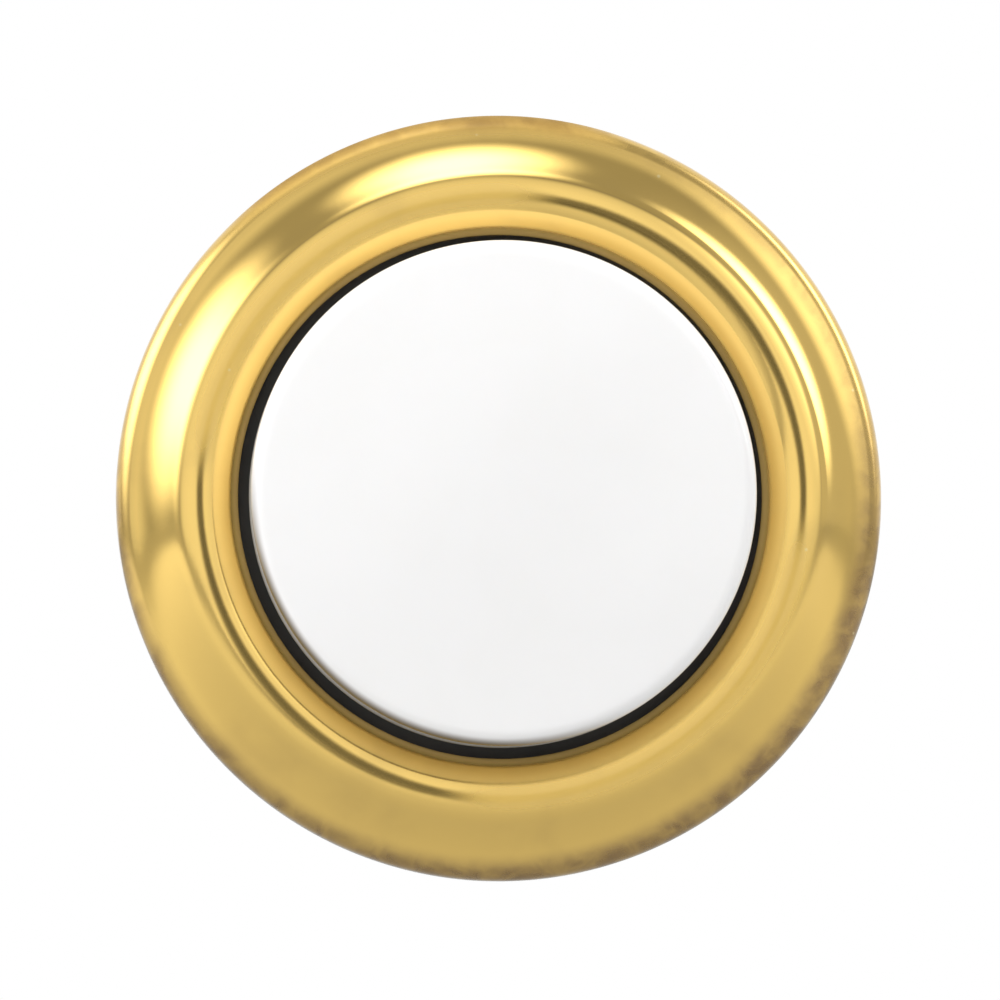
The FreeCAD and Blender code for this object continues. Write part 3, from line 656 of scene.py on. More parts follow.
class Solid:
    """A mesh piece in the making."""

    def __init__(
        self, name: str, points: Iterable[Sequence[float]], faces: Iterable[Sequence[int]]
    ) -> None:
        """Make a mesh.

        Args:
            name: The piece's name.
            points: Its points, in millimetres.
            faces: The numbers of each face's points, in order.
        """
        mesh = bpy.data.meshes.new(name)
        mesh.from_pydata([Vector(point) * MM for point in points], [], list(faces))
        work = bmesh.new()
        work.from_mesh(mesh)
        bmesh.ops.recalc_face_normals(work, faces=work.faces)
        work.to_mesh(mesh)
        work.free()
        self.piece = bpy.data.objects.new(name, mesh)
        bpy.context.scene.collection.objects.link(self.piece)

    @classmethod
    def turned(cls, name: str, section: Sequence[Point], segments: int = 96) -> "Solid":
        """Turn a closed section about the axis.

        Args:
            name: The piece's name.
            section: The section's radii and depths.
            segments: How many flats the turned form has.

        Returns:
            The turned solid.
        """
        rings: list[list[int]] = []
        points: list[tuple[float, float, float]] = []
        for radius, depth in section:
            if radius < TINY:
                rings.append([len(points)] * segments)
                points.append((0.0, depth, 0.0))
                continue
            rings.append(list(range(len(points), len(points) + segments)))
            for i in range(segments):
                across, up = ring_point(radius, 360.0 * i / segments)
                points.append((across, depth, up))
        faces = []
        for ring, following in zip(rings, rings[1:] + rings[:1]):
            for i in range(segments):
                j = (i + 1) % segments
                corners = tuple(dict.fromkeys((ring[i], ring[j], following[j], following[i])))
                if len(corners) > 2:
                    faces.append(corners)
        return cls(name, points, faces)

    @classmethod
    def stretched(cls, name: str, first: Sequence[tuple], last: Sequence[tuple]) -> "Solid":
        """Join two like outlines into a solid.

        Args:
            name: The piece's name.
            first: Points of the outline at one end.
            last: As many points at the other end.

        Returns:
            The stretched solid.
        """
        count = len(first)
        faces = [(i, (i + 1) % count, (i + 1) % count + count, i + count) for i in range(count)]
        faces += [tuple(range(count)), tuple(range(count, 2 * count))]
        return cls(name, [*first, *last], faces)

    @classmethod
    def prism(cls, name: str, outline: Sequence[Point], near: float, far: float) -> "Solid":
        """Stretch an outline of the XZ plane from one depth to another."""
        first, last = ([(x, depth, z) for x, z in outline] for depth in (near, far))
        return cls.stretched(name, first, last)

    @classmethod
    def fin(cls, name: str, outline: Sequence[Point], half_width: float) -> "Solid":
        """Stretch an outline of radii and depths to both sides of the XY plane."""
        first, last = ([(x, y, side) for x, y in outline] for side in (-half_width, half_width))
        return cls.stretched(name, first, last)

    @classmethod
    def box(cls, name: str, low: Sequence[float], high: Sequence[float]) -> "Solid":
        """A box between two corners."""
        outline = [(low[0], low[2]), (high[0], low[2]), (high[0], high[2]), (low[0], high[2])]
        return cls.prism(name, outline, low[1], high[1])

    @classmethod
    def wire(cls, name: str, path: Sequence[Vector], radius: float, sides: int = 14) -> "Solid":
        """Sweep a round wire along a path, with flat ends.

        Args:
            name: The piece's name.
            path: Points along the wire's middle.
            radius: The wire's radius.
            sides: How many flats the wire has.

        Returns:
            The wire.
        """
        points: list[Vector] = []
        side = (path[1] - path[0]).orthogonal().normalized()
        for i, centre in enumerate(path):
            along = (path[min(i + 1, len(path) - 1)] - path[max(i - 1, 0)]).normalized()
            side = (side - along * side.dot(along)).normalized()
            other = along.cross(side)
            for k in range(sides):
                u, v = ring_point(radius, 360.0 * k / sides)
                points.append(centre + side * u + other * v)
        faces = []
        for i in range(len(path) - 1):
            for k in range(sides):
                here, there = i * sides + k, i * sides + (k + 1) % sides
                faces.append((here, there, there + sides, here + sides))
        last = (len(path) - 1) * sides
        faces += [tuple(range(sides)), tuple(range(last, last + sides))]
        return cls(name, points, faces)

    def moved(self, across: float = 0.0, depth: float = 0.0, up: float = 0.0) -> "Solid":
        """Shift the mesh."""
        self.piece.data.transform(Matrix.Translation(Vector((across, depth, up)) * MM))
        return self

    def turned_by(self, angle: float) -> "Solid":
        """Turn the mesh round the barrel's axis by a ring angle in degrees."""
        self.piece.data.transform(Matrix.Rotation(-math.radians(angle), 4, "Y"))
        return self

    def softened(self, width: float, angle: float = 35.0, segments: int = 2) -> "Solid":
        """Round the sharp edges.

        Args:
            width: The rounding's width.
            angle: The angle in degrees from which an edge is sharp.
            segments: How many flats the rounding has.

        Returns:
            The same solid.
        """
        bevel = self.piece.modifiers.new("softened", "BEVEL")
        bevel.width = width * MM
        bevel.segments = segments
        bevel.limit_method = "ANGLE"
        bevel.angle_limit = math.radians(angle)
        bevel.use_clamp_overlap = True
        return self._settled()

    def worked(self, carving: Carving, tool: "Solid") -> "Solid":
        """Cut a tool out of the piece or join it on.

        Args:
            carving: What the tool does.
            tool: The tool, which is used up.

        Returns:
            The same solid.
        """
        change = self.piece.modifiers.new(carving.name.lower(), "BOOLEAN")
        change.operation = carving.value
        change.solver = "EXACT"
        change.object = tool.piece
        self._settled()
        bpy.data.objects.remove(tool.piece)
        return self

    def _settled(self) -> "Solid":
        """Turn the piece's modifiers into its mesh.

        Returns:
            The same solid.
        """
        bpy.context.view_layer.update()
        changed = self.piece.evaluated_get(bpy.context.evaluated_depsgraph_get())
        mesh = bpy.data.meshes.new_from_object(changed)
        self.piece.modifiers.clear()
        self.piece.data = mesh
        return self

    def placed(self, body: Body, finish: Finish, *nodes: str, crease: float = 40.0) -> "Solid":
        """Dress the piece and let it ride, in the place of CAD nodes where some are named.

        Args:
            body: The body that it rides on.
            finish: Its surface finish.
            nodes: The CAD nodes that it stands for.
            crease: The angle in degrees from which an edge looks sharp.

        Returns:
            The same solid.
        """
        mesh = self.piece.data
        mesh.materials.clear()
        mesh.materials.append(finish.material())
        mesh.shade_smooth()
        mesh.set_sharp_from_angle(angle=math.radians(crease))
        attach(self.piece, body.value)
        if nodes:
            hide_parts(*nodes)
        LOG.info("%s: %d faces in %s", self.piece.name, len(mesh.polygons), finish.name)
        return self


def dress_node(node: str, finish: Finish) -> None:
    """Give a CAD node that stays in view its finish.

    Args:
        node: The node's name.
        finish: The finish.
    """
    mesh = frame["nodes"][node].data
    mesh.materials.clear()
    mesh.materials.append(finish.material())
    LOG.info("%s: CAD node in %s", node, finish.name)


def reach(node: str) -> tuple[Vector, Vector]:
    """The lowest and highest corner of a CAD node, in millimetres."""
    low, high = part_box(node)
    return low / MM, high / MM


@dataclass
class Rim:
    """Stamped brass rim: rolled edge, cove, shoulder, crown and a bevel into the opening."""

    edge_radius: float
    wall: float = 0.4
    lip_width: float = 1.4
    roll: float = 0.48
    edge_height: float = 1.44
    edge_bend: float = 0.62
    ledge_width: float = 1.28
    ledge_rise: float = 0.3
    cove_bend: float = 2.8
    riser_width: float = 0.73
    riser_rise: float = 0.57
    shoulder_bend: float = 0.8
    band_width: float = 0.66
    band_rise: float = 0.13
    crown_bend: float = 2.1
    crown_width: float = 0.82
    crown_fall: float = 0.17
    bevel_bend: float = 1.6
    bevel_width: float = 0.54
    bevel_fall: float = 0.43
    opening_bend: float = 0.1
    flange_height: float = 0.9
    bend_step: float = 3.0
    segments: int = 384

    def outline(self) -> list[Corner]:
        """Find the sheet's outer side.

        Returns:
            Corners from the rear lip round the face to the opening.
        """
        cove = self.edge_radius - self.ledge_width
        shoulder = cove - self.riser_width
        crown = shoulder - self.band_width
        bevel = crown - self.crown_width
        opening = bevel - self.bevel_width
        cove_height = self.edge_height + self.ledge_rise
        shoulder_height = cove_height + self.riser_rise
        crown_height = shoulder_height + self.band_rise
        bevel_height = crown_height - self.crown_fall
        return [
            Corner(self.edge_radius - self.lip_width, 0.0),
            Corner(self.edge_radius, 0.0, self.roll),
            Corner(self.edge_radius, -self.edge_height, self.edge_bend),
            Corner(cove, -cove_height, self.cove_bend),
            Corner(shoulder, -shoulder_height, self.shoulder_bend),
            Corner(crown, -crown_height, self.crown_bend),
            Corner(bevel, -bevel_height, self.bevel_bend),
            Corner(opening, self.bevel_fall - bevel_height, self.opening_bend),
            Corner(opening, -self.flange_height),
        ]

    def build(self) -> None:
        """Make the rim and put it in its place."""
        section = thickened(rounded(self.outline(), self.bend_step), self.wall)
        rim = Solid.turned("brass_rim", section, self.segments)
        rim.placed(Body.FIXED, BRASS, "rim", crease=50.0)


@dataclass
class PushButton:
    """White moulded button: domed cap, hollow stem, snap hooks and the stakes on its end."""

    radius: float
    top: float
    stem_end: float
    crown: float = 0.4
    edge_bend: float = 0.5
    skirt: float = -2.2
    cap_wall: float = 1.0
    cap_top: float = 1.1
    stem_radius: float = 6.22
    bore_radius: float = 5.22
    seat_radius: float = 3.4
    hooks: int = 3
    hook_front: float = 3.0
    hook_length: float = 1.6
    hook_land: float = 0.5
    hook_reach: float = 0.6
    hook_width: float = 2.0
    hook_inset: float = 0.005
    slot: float = 0.5
    finger_root: float = -1.0
    finger_end: float = 5.2
    stake_angle: float = 30.0
    stake_radius: float = 0.3
    stake_head: float = 0.48
    stake_head_height: float = 0.25
    stake_reach: float = 0.55
    root: float = 0.5
    passing: float = 0.4
    overlap: float = 0.01

    def section(self) -> list[Point]:
        """Draw the cap and the stem.

        Returns:
            Their closed section.
        """
        edge = self.top + self.crown
        under = edge + self.cap_top
        inner = self.radius - self.cap_wall
        face = dome(self.top, Corner(self.radius, edge, self.edge_bend))
        ceiling = dome(under - self.crown, Corner(self.seat_radius, under, 0.1), 8)
        walls = [
            Corner(self.radius, self.skirt, 0.15),
            Corner(inner, self.skirt, 0.15),
            Corner(inner, under, 0.25),
            Corner(self.stem_radius, under, 0.2),
            Corner(self.stem_radius, self.stem_end, 0.12),
            Corner(self.bore_radius, self.stem_end, 0.12),
            Corner(self.bore_radius, under, 0.2),
        ]
        return rounded(face + walls + ceiling[::-1])

    def finger_tools(self, angle: float) -> list[Solid]:
        """Make the narrow boxes that cut one sprung finger free on three sides.

        Args:
            angle: The finger's ring angle.

        Returns:
            The three tools.
        """
        half = self.hook_width / 2.0
        outer = half + self.slot
        near, far = self.bore_radius - self.passing, self.stem_radius + self.passing
        sides = [(-outer, -half), (half, outer)]
        tools = [
            Solid.box("slot_tool", (near, self.finger_root, low), (far, self.finger_end, high))
            for low, high in sides
        ]
        end, wide = self.finger_end - self.slot, half + self.overlap
        tools.append(Solid.box("slot_tool", (near, end, -wide), (far, self.finger_end, wide)))
        return [tool.turned_by(angle) for tool in tools]

    def hook(self, angle: float) -> Solid:
        """Make one ramped hook, rooted in its finger.

        Args:
            angle: The hook's ring angle.

        Returns:
            The hook.
        """
        rear = self.hook_front + self.hook_length
        root = self.stem_radius - self.root
        tip = self.stem_radius + self.hook_reach
        side = [
            (root, self.hook_front),
            (tip, self.hook_front),
            (tip, self.hook_front + self.hook_land),
            (self.stem_radius + 0.02, rear),
            (root, rear),
        ]
        hook = Solid.fin("hook", side, self.hook_width / 2.0 - self.hook_inset)
        return hook.softened(0.06).turned_by(angle)

    def stake(self, angle: float) -> Solid:
        """Make one headed stake.

        Args:
            angle: The stake's ring angle.

        Returns:
            The stake.
        """
        start = self.stem_end - 0.2
        neck = self.stem_end + self.stake_reach - self.stake_head_height
        end = self.stem_end + self.stake_reach
        corners = [
            Corner(0.0, start),
            Corner(self.stake_radius, start),
            Corner(self.stake_radius, neck),
            Corner(self.stake_head, neck),
            Corner(self.stake_head, end, 0.12),
            Corner(0.0, end),
        ]
        across, up = ring_point((self.stem_radius + self.bore_radius) / 2.0, angle)
        return Solid.turned("stake", rounded(corners), 32).moved(across, up=up)

    def build(self) -> None:
        """Make the button and put it in its place."""
        button = Solid.turned("white_button", self.section(), 192)
        for k in range(self.hooks):
            angle = 360.0 * k / self.hooks
            for tool in self.finger_tools(angle):
                button.worked(Carving.CUT, tool)
            button.worked(Carving.JOIN, self.hook(angle))
            button.worked(Carving.JOIN, self.stake(angle + self.stake_angle))
        button.placed(Body.PUSHED, WHITE, "button")


@dataclass
class Housing:
    """Black moulded housing: guide collar, flange, barrel, hook grooves and snap windows."""

    barrel_end: float
    barrel_radius: float = 7.8
    guide_radius: float = 6.3
    chamber_radius: float = 6.8
    collar_radius: float = 7.1
    collar_top: float = -2.3
    flange_radius: float = 12.0
    flange_front: float = -0.9
    flange_rear: float = -0.4
    hub_radius: float = 11.2
    guide_end: float = 6.0
    groove_radius: float = 6.92
    groove_front: float = 3.0
    groove_half_width: float = 1.2
    window_half_width: float = 1.45
    window_front: float = 16.15
    window_rear: float = 17.65
    grooves: int = 3
    passing: float = 1.0

    def section(self) -> list[Point]:
        """Draw the flange, the collar and the barrel.

        Returns:
            Their closed section.
        """
        corners = [
            Corner(self.guide_radius, self.collar_top, 0.2),
            Corner(self.collar_radius, self.collar_top, 0.2),
            Corner(self.collar_radius, self.flange_front, 0.25),
            Corner(self.flange_radius, self.flange_front, 0.2),
            Corner(self.flange_radius, self.flange_rear, 0.1),
            Corner(self.hub_radius, self.flange_rear, 0.1),
            Corner(self.hub_radius, 0.0, 0.1),
            Corner(self.barrel_radius, 0.0, 0.1),
            Corner(self.barrel_radius, self.barrel_end, 0.4),
            Corner(self.chamber_radius, self.barrel_end, 0.15),
            Corner(self.chamber_radius, self.guide_end, 0.1),
            Corner(self.guide_radius, self.guide_end, 0.1),
        ]
        return rounded(corners)

    def build(self) -> None:
        """Make the housing and put it in its place."""
        housing = Solid.turned("black_housing", self.section(), 192)
        wide = self.groove_half_width
        low = (self.guide_radius - self.passing, self.groove_front, -wide)
        high = (self.groove_radius, self.guide_end + self.passing / 2.0, wide)
        for k in range(self.grooves):
            groove = Solid.box("groove_tool", low, high).turned_by(360.0 * k / self.grooves)
            housing.worked(Carving.CUT, groove)
        far = self.barrel_radius + self.passing
        low = (-self.window_half_width, self.window_front, -far)
        high = (self.window_half_width, self.window_rear, far)
        window = Solid.box("window_tool", low, high).softened(0.15)
        housing.worked(Carving.CUT, window).placed(Body.FIXED, BLACK, "housing")


@dataclass
class TerminalBlock:
    """Brown insulating block with its barrier, snaps, rivet holes, lead grooves and screw holes."""

    rear: float
    plug_radius: float = 6.72
    disc_radius: float = 7.6
    recess_radius: float = 4.58
    recess: float = 15.6
    plug_front: float = 15.2
    barrel_end: float = 20.0
    disc_rear: float = 21.2
    barrier_half_width: float = 0.6
    barrier_half_length: float = 6.5
    snap_front: float = 16.3
    snap_rear: float = 17.5
    snap_land: float = 0.5
    snap_reach: float = 0.75
    snap_half_width: float = 1.3
    rivet_circle: float = 5.72
    rivet_angle: float = -60.0
    rivet_hole: float = 0.63
    groove_half_width: float = 0.25
    groove_depth: float = 0.9
    lead_offset: float = 0.85
    screw_offset: float = 3.9
    screw_hole: float = 1.43
    screw_hole_depth: float = 3.7
    barrier_root: float = 0.3
    passing: float = 1.0

    def section(self) -> list[Point]:
        """Draw the plug and the disc.

        Returns:
            Their closed section.
        """
        corners = [
            Corner(0.0, self.recess),
            Corner(self.recess_radius, self.recess, 0.1),
            Corner(self.recess_radius, self.plug_front, 0.1),
            Corner(self.plug_radius, self.plug_front, 0.3),
            Corner(self.plug_radius, self.barrel_end, 0.05),
            Corner(self.disc_radius, self.barrel_end, 0.15),
            Corner(self.disc_radius, self.disc_rear, 0.25),
            Corner(0.0, self.disc_rear),
        ]
        return rounded(corners)

    def snap(self, turn: float) -> Solid:
        """Make one ramped snap, rooted in the plug.

        Args:
            turn: The snap's ring angle.

        Returns:
            The snap.
        """
        root = self.plug_radius - self.snap_reach
        tip = self.plug_radius + self.snap_reach
        side = [
            (root, self.snap_front),
            (self.plug_radius, self.snap_front),
            (tip, self.snap_rear - self.snap_land),
            (tip, self.snap_rear),
            (root, self.snap_rear),
        ]
        return Solid.fin("snap", side, self.snap_half_width).softened(0.08).turned_by(turn)

    def hole(self, radius: float, near: float, far: float, place: Point) -> Solid:
        """A round tool parallel to the axis."""
        corners = [(0.0, near), (radius, near), (radius, far), (0.0, far)]
        return Solid.turned("hole_tool", corners, 48).moved(place[0], up=place[1])

    def build(self) -> None:
        """Make the block and put it in its place."""
        block = Solid.turned("terminal_block_body", self.section(), 160)
        wide, long = self.barrier_half_width, self.barrier_half_length
        low = (-wide, self.disc_rear - self.barrier_root, -long)
        high = (wide, self.rear, long)
        block.worked(Carving.JOIN, Solid.box("barrier", low, high).softened(0.15))
        for turn in (0.0, 180.0):
            block.worked(Carving.JOIN, self.snap(90.0 + turn))
            angle = self.rivet_angle + turn
            near, far = self.plug_front - self.passing, self.disc_rear + self.passing
            place = ring_point(self.rivet_circle, angle)
            block.worked(Carving.CUT, self.hole(self.rivet_hole, near, far, place))
            wide, ahead = self.groove_half_width, self.passing / 2.0
            low = (self.lead_offset, self.plug_front - ahead, -wide)
            high = (self.rivet_circle, self.plug_front + self.groove_depth, wide)
            block.worked(Carving.CUT, Solid.box("groove_tool", low, high).turned_by(angle))
            near, far = self.disc_rear - self.screw_hole_depth, self.disc_rear + ahead
            place = ring_point(self.screw_offset, turn)
            block.worked(Carving.CUT, self.hole(self.screw_hole, near, far, place))
        block.placed(Body.FIXED, RESIN, "terminal_block")


@dataclass
class Terminal:
    """One terminal: half-moon plate, contact rivet through it and the wire's clamp screw."""

    side: str
    turn: float
    plate_front: float = 21.2
    plate_rear: float = 21.9
    plate_radius: float = 7.1
    plate_edge: float = 1.0
    rivet_circle: float = 5.72
    rivet_angle: float = -60.0
    rivet_top: float = 14.6
    rivet_seat: float = 15.2
    rivet_head: float = 0.9
    rivet_shank: float = 0.6
    rivet_tail: float = 1.1
    rivet_end: float = 22.4
    screw_offset: float = 3.9
    screw_start: float = 17.9
    screw_radius: float = 1.4
    screw_head: float = 2.35
    screw_edge: float = 22.85
    screw_top: float = 23.2
    slot_width: float = 0.6
    slot_depth: float = 0.65
    thread_pitch: float = 0.5
    thread_depth: float = 0.27
    clearance: float = 0.03
    countersink: float = 0.1
    passing: float = 0.5
    driven_to: float = 25.0
    arc_steps: int = 48

    def plate(self) -> Solid:
        """Make the stamped plate with its two holes.

        Returns:
            The plate.
        """
        half = math.degrees(math.acos(self.plate_edge / self.plate_radius))
        shares = [2.0 * k / self.arc_steps - 1.0 for k in range(self.arc_steps + 1)]
        outline = [ring_point(self.plate_radius, half * share) for share in shares]
        plate = Solid.prism(f"{self.side}_plate", outline, self.plate_front, self.plate_rear)
        plate.softened(0.1)
        screw = (self.screw_offset, 0.0)
        rivet = ring_point(self.rivet_circle, self.rivet_angle)
        near, far = self.plate_front - self.passing, self.plate_rear + self.countersink
        for shank, place in ((self.screw_radius, screw), (self.rivet_shank, rivet)):
            radius = shank + self.clearance
            corners = [(0.0, near), (radius, near), (radius, self.plate_rear)]
            corners += [(radius + self.countersink, far), (0.0, far)]
            tool = Solid.turned("hole_tool", corners, 48).moved(place[0], up=place[1])
            plate.worked(Carving.CUT, tool)
        return plate.turned_by(self.turn)

    def rivet(self) -> Solid:
        """Make the contact rivet, with a domed head and a tail closed over the plate.

        Returns:
            The rivet.
        """
        head = dome(self.rivet_top, Corner(self.rivet_head, self.rivet_seat), 10)
        tail = dome(self.rivet_end, Corner(self.rivet_tail, self.plate_rear), 10)
        shank = [Corner(self.rivet_shank, depth) for depth in (self.rivet_seat, self.plate_rear)]
        across, up = ring_point(self.rivet_circle, self.rivet_angle)
        rivet = Solid.turned(f"{self.side}_rivet", rounded(head + shank + tail[::-1]), 64)
        return rivet.moved(across, up=up).turned_by(self.turn)

    def screw(self) -> Solid:
        """Make the slotted screw with its rolled thread.

        Returns:
            The screw.
        """
        groove = self.thread_pitch / 2.0
        core = self.screw_radius - self.thread_depth
        corners = [Corner(0.0, self.screw_start), Corner(core, self.screw_start, 0.1)]
        depth = self.screw_start + groove
        while depth + self.thread_pitch < self.plate_rear:
            corners.append(Corner(core, depth))
            corners.append(Corner(self.screw_radius, depth + groove))
            depth += self.thread_pitch
        corners += [
            Corner(core, depth),
            Corner(self.screw_radius, self.plate_rear - 0.1),
            Corner(self.screw_radius, self.plate_rear),
            Corner(self.screw_head, self.plate_rear, 0.12),
        ]
        head = dome(self.screw_top, Corner(self.screw_head, self.screw_edge, 0.18), 10)
        screw = Solid.turned(f"{self.side}_screw", rounded(corners + head[::-1]), 96)
        half = self.slot_width / 2.0
        far = self.screw_head + 1.0
        low = (-far, self.screw_top - self.slot_depth, -half)
        high = (far, self.screw_top + 1.0, half)
        screw.worked(Carving.CUT, Solid.box("slot_tool", low, high))
        screw.turned_by(self.driven_to + self.turn / 4.0).moved(self.screw_offset)
        return screw.turned_by(self.turn)

    def build(self) -> None:
        """Make the plate, the rivet and the screw and put them in their places."""
        self.plate().placed(Body.FIXED, PLATE, f"{self.side}_terminal")
        self.rivet().placed(Body.FIXED, SILVER, f"{self.side}_contact")
        self.screw().placed(Body.FIXED, ZINC, f"{self.side}_terminal_screw", crease=30.0)
        dress_node(f"{self.side}_lamp_lead", TINNED)


@dataclass
class ReturnSpring:
    """Coil spring with closed ends, pressed together as the button goes in."""

    front: float
    rear: float
    travel: float
    radius: float = 4.2
    wire: float = 0.2
    turns: float = 8.0
    closed_turns: float = 1.0
    steps: int = 72

    def path(self) -> list[Vector]:
        """Wind the wire, with a closed turn at each end.

        Returns:
            Points along the wire's middle.
        """
        start, stop = self.rear - self.wire, self.front + self.wire
        count = round(self.turns * self.steps)
        closed_rise = 2.0 * self.wire * self.closed_turns
        free = stop - start + 2.0 * closed_rise
        places = []
        for i in range(count + 1):
            turn = i / self.steps
            share = (turn - self.closed_turns) / (self.turns - 2.0 * self.closed_turns)
            eased = min(1.0, max(0.0, share))
            closed = min(turn, self.closed_turns) + max(0.0, turn - self.turns + self.closed_turns)
            depth = start - closed * 2.0 * self.wire + eased * free
            across, up = ring_point(self.radius, 360.0 * turn)
            places.append(Vector((across, depth, up)))
        return places

    def build(self) -> None:
        """Make the spring and put it in its place."""
        spring = Solid.wire("coil_spring", self.path(), self.wire)
        spring.placed(Body.FIXED, SPRING, "return_spring")
        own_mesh(spring.piece)


@dataclass
class Lamp:
    """Small sealed lamp: glass envelope, two support wires and a coiled filament."""

    tip: float
    base: float
    radius: float = 2.5
    glass: float = 0.3
    lead_offset: float = 1.1
    filament_depth: float = 5.2
    coil_radius: float = 0.16
    coil_turns: int = 9
    coil_steps: int = 16
    coil_sag: float = 0.35
    support_wire: float = 0.05
    support_root: float = 1.6
    lead_angle: float = -60.0

    def envelope(self) -> Solid:
        """Make the hollow envelope, rounded at its tip and thick at its base.

        Returns:
            The envelope.
        """
        inner = self.radius - self.glass
        outside = dome(self.tip, Corner(self.radius, self.tip + self.radius * 0.999), 20)
        inside = dome(self.tip + self.glass, Corner(inner, self.tip + self.radius), 16)
        corners = (
            outside
            + [Corner(self.radius, self.base, 0.3), Corner(0.0, self.base)]
            + [Corner(0.0, self.base - 1.8), Corner(inner, self.base - 1.2, 0.5)]
            + inside[::-1]
        )
        return Solid.turned("lamp_envelope", rounded(corners), 96)

    def supports(self) -> Solid:
        """Make the bent wires that hold the filament, in one mesh with it.

        Returns:
            The wires and the filament.
        """
        root = self.base - self.support_root
        path = [
            Vector((-self.lead_offset, root, 0.0)),
            Vector((-self.lead_offset, self.filament_depth, 0.0)),
        ]
        span = 2.0 * self.lead_offset
        count = self.coil_turns * self.coil_steps
        for i in range(count + 1):
            share = i / count
            y, z = ring_point(self.coil_radius, 360.0 * i / self.coil_steps)
            depth = self.filament_depth - self.coil_sag * math.sin(math.pi * share) + y
            path.append(Vector((-self.lead_offset + span * share, depth, z)))
        path.append(Vector((self.lead_offset, root, 0.0)))
        wires = Solid.wire("lamp_filament", path, self.support_wire, 8)
        return wires.turned_by(self.lead_angle)

    def build(self) -> None:
        """Make the envelope and the filament and put them in their places."""
        self.envelope().placed(Body.FIXED, GLASS, "lamp")
        self.supports().placed(Body.FIXED, TUNGSTEN)


@dataclass(frozen=True)
class Softbox:
    """An oval studio lamp, aimed at the object.

    The ring angle says where it stands round the object's axis, and the swing how far off the axis.
    Its width is measured round the axis and its height away from it.
    """

    ring_angle: float
    swing: float
    width: float
    height: float
    level: float
    distance: float = 600.0
    mirrored: bool = True
    fade_span: Span = (0.05, 0.5)

    def build(self, name: str) -> None:
        """Hang the lamp.

        Args:
            name: The lamp's name.
        """
        lamp = bpy.data.lights.new(name, "AREA")
        lamp.shape = "ELLIPSE"
        lamp.size = self.width * MM
        lamp.size_y = self.height * MM
        oval = math.pi / 4.0 * lamp.size * lamp.size_y
        lamp.energy = self.level * math.pi * oval
        self.fade(Graph(lamp))
        holder = bpy.data.objects.new(name, lamp)
        off, forward = ring_point(1.0, 90.0 - self.swing)
        across, up = ring_point(off, self.ring_angle)
        outward = Vector((across, -forward, up))
        round_axis = Vector((-up, 0.0, across)).normalized()
        axes = (round_axis, outward.cross(round_axis), outward)
        holder.rotation_euler = Matrix(axes).transposed().to_euler()
        holder.location = outward * self.distance * MM
        holder.visible_glossy = self.mirrored
        bpy.context.scene.collection.objects.link(holder)

    def fade(self, graph: Graph) -> None:
        """Let the lamp's light fade towards its edge.

        Args:
            graph: The lamp's nodes.
        """
        place = graph.node("ShaderNodeNewGeometry", output="Parametric")
        across, along, _ = graph.parts(place)
        across, along = across - 0.5, along - 0.5
        off_middle = (across * across + along * along) ** 0.5
        light = graph.mix(off_middle.rise(*self.fade_span), (1.0, 1.0, 1.0), (0.0, 0.0, 0.0))
        emission = graph.node("ShaderNodeEmission", sockets={"Color": light})
        graph.node("ShaderNodeOutputLight", sockets={"Surface": emission})


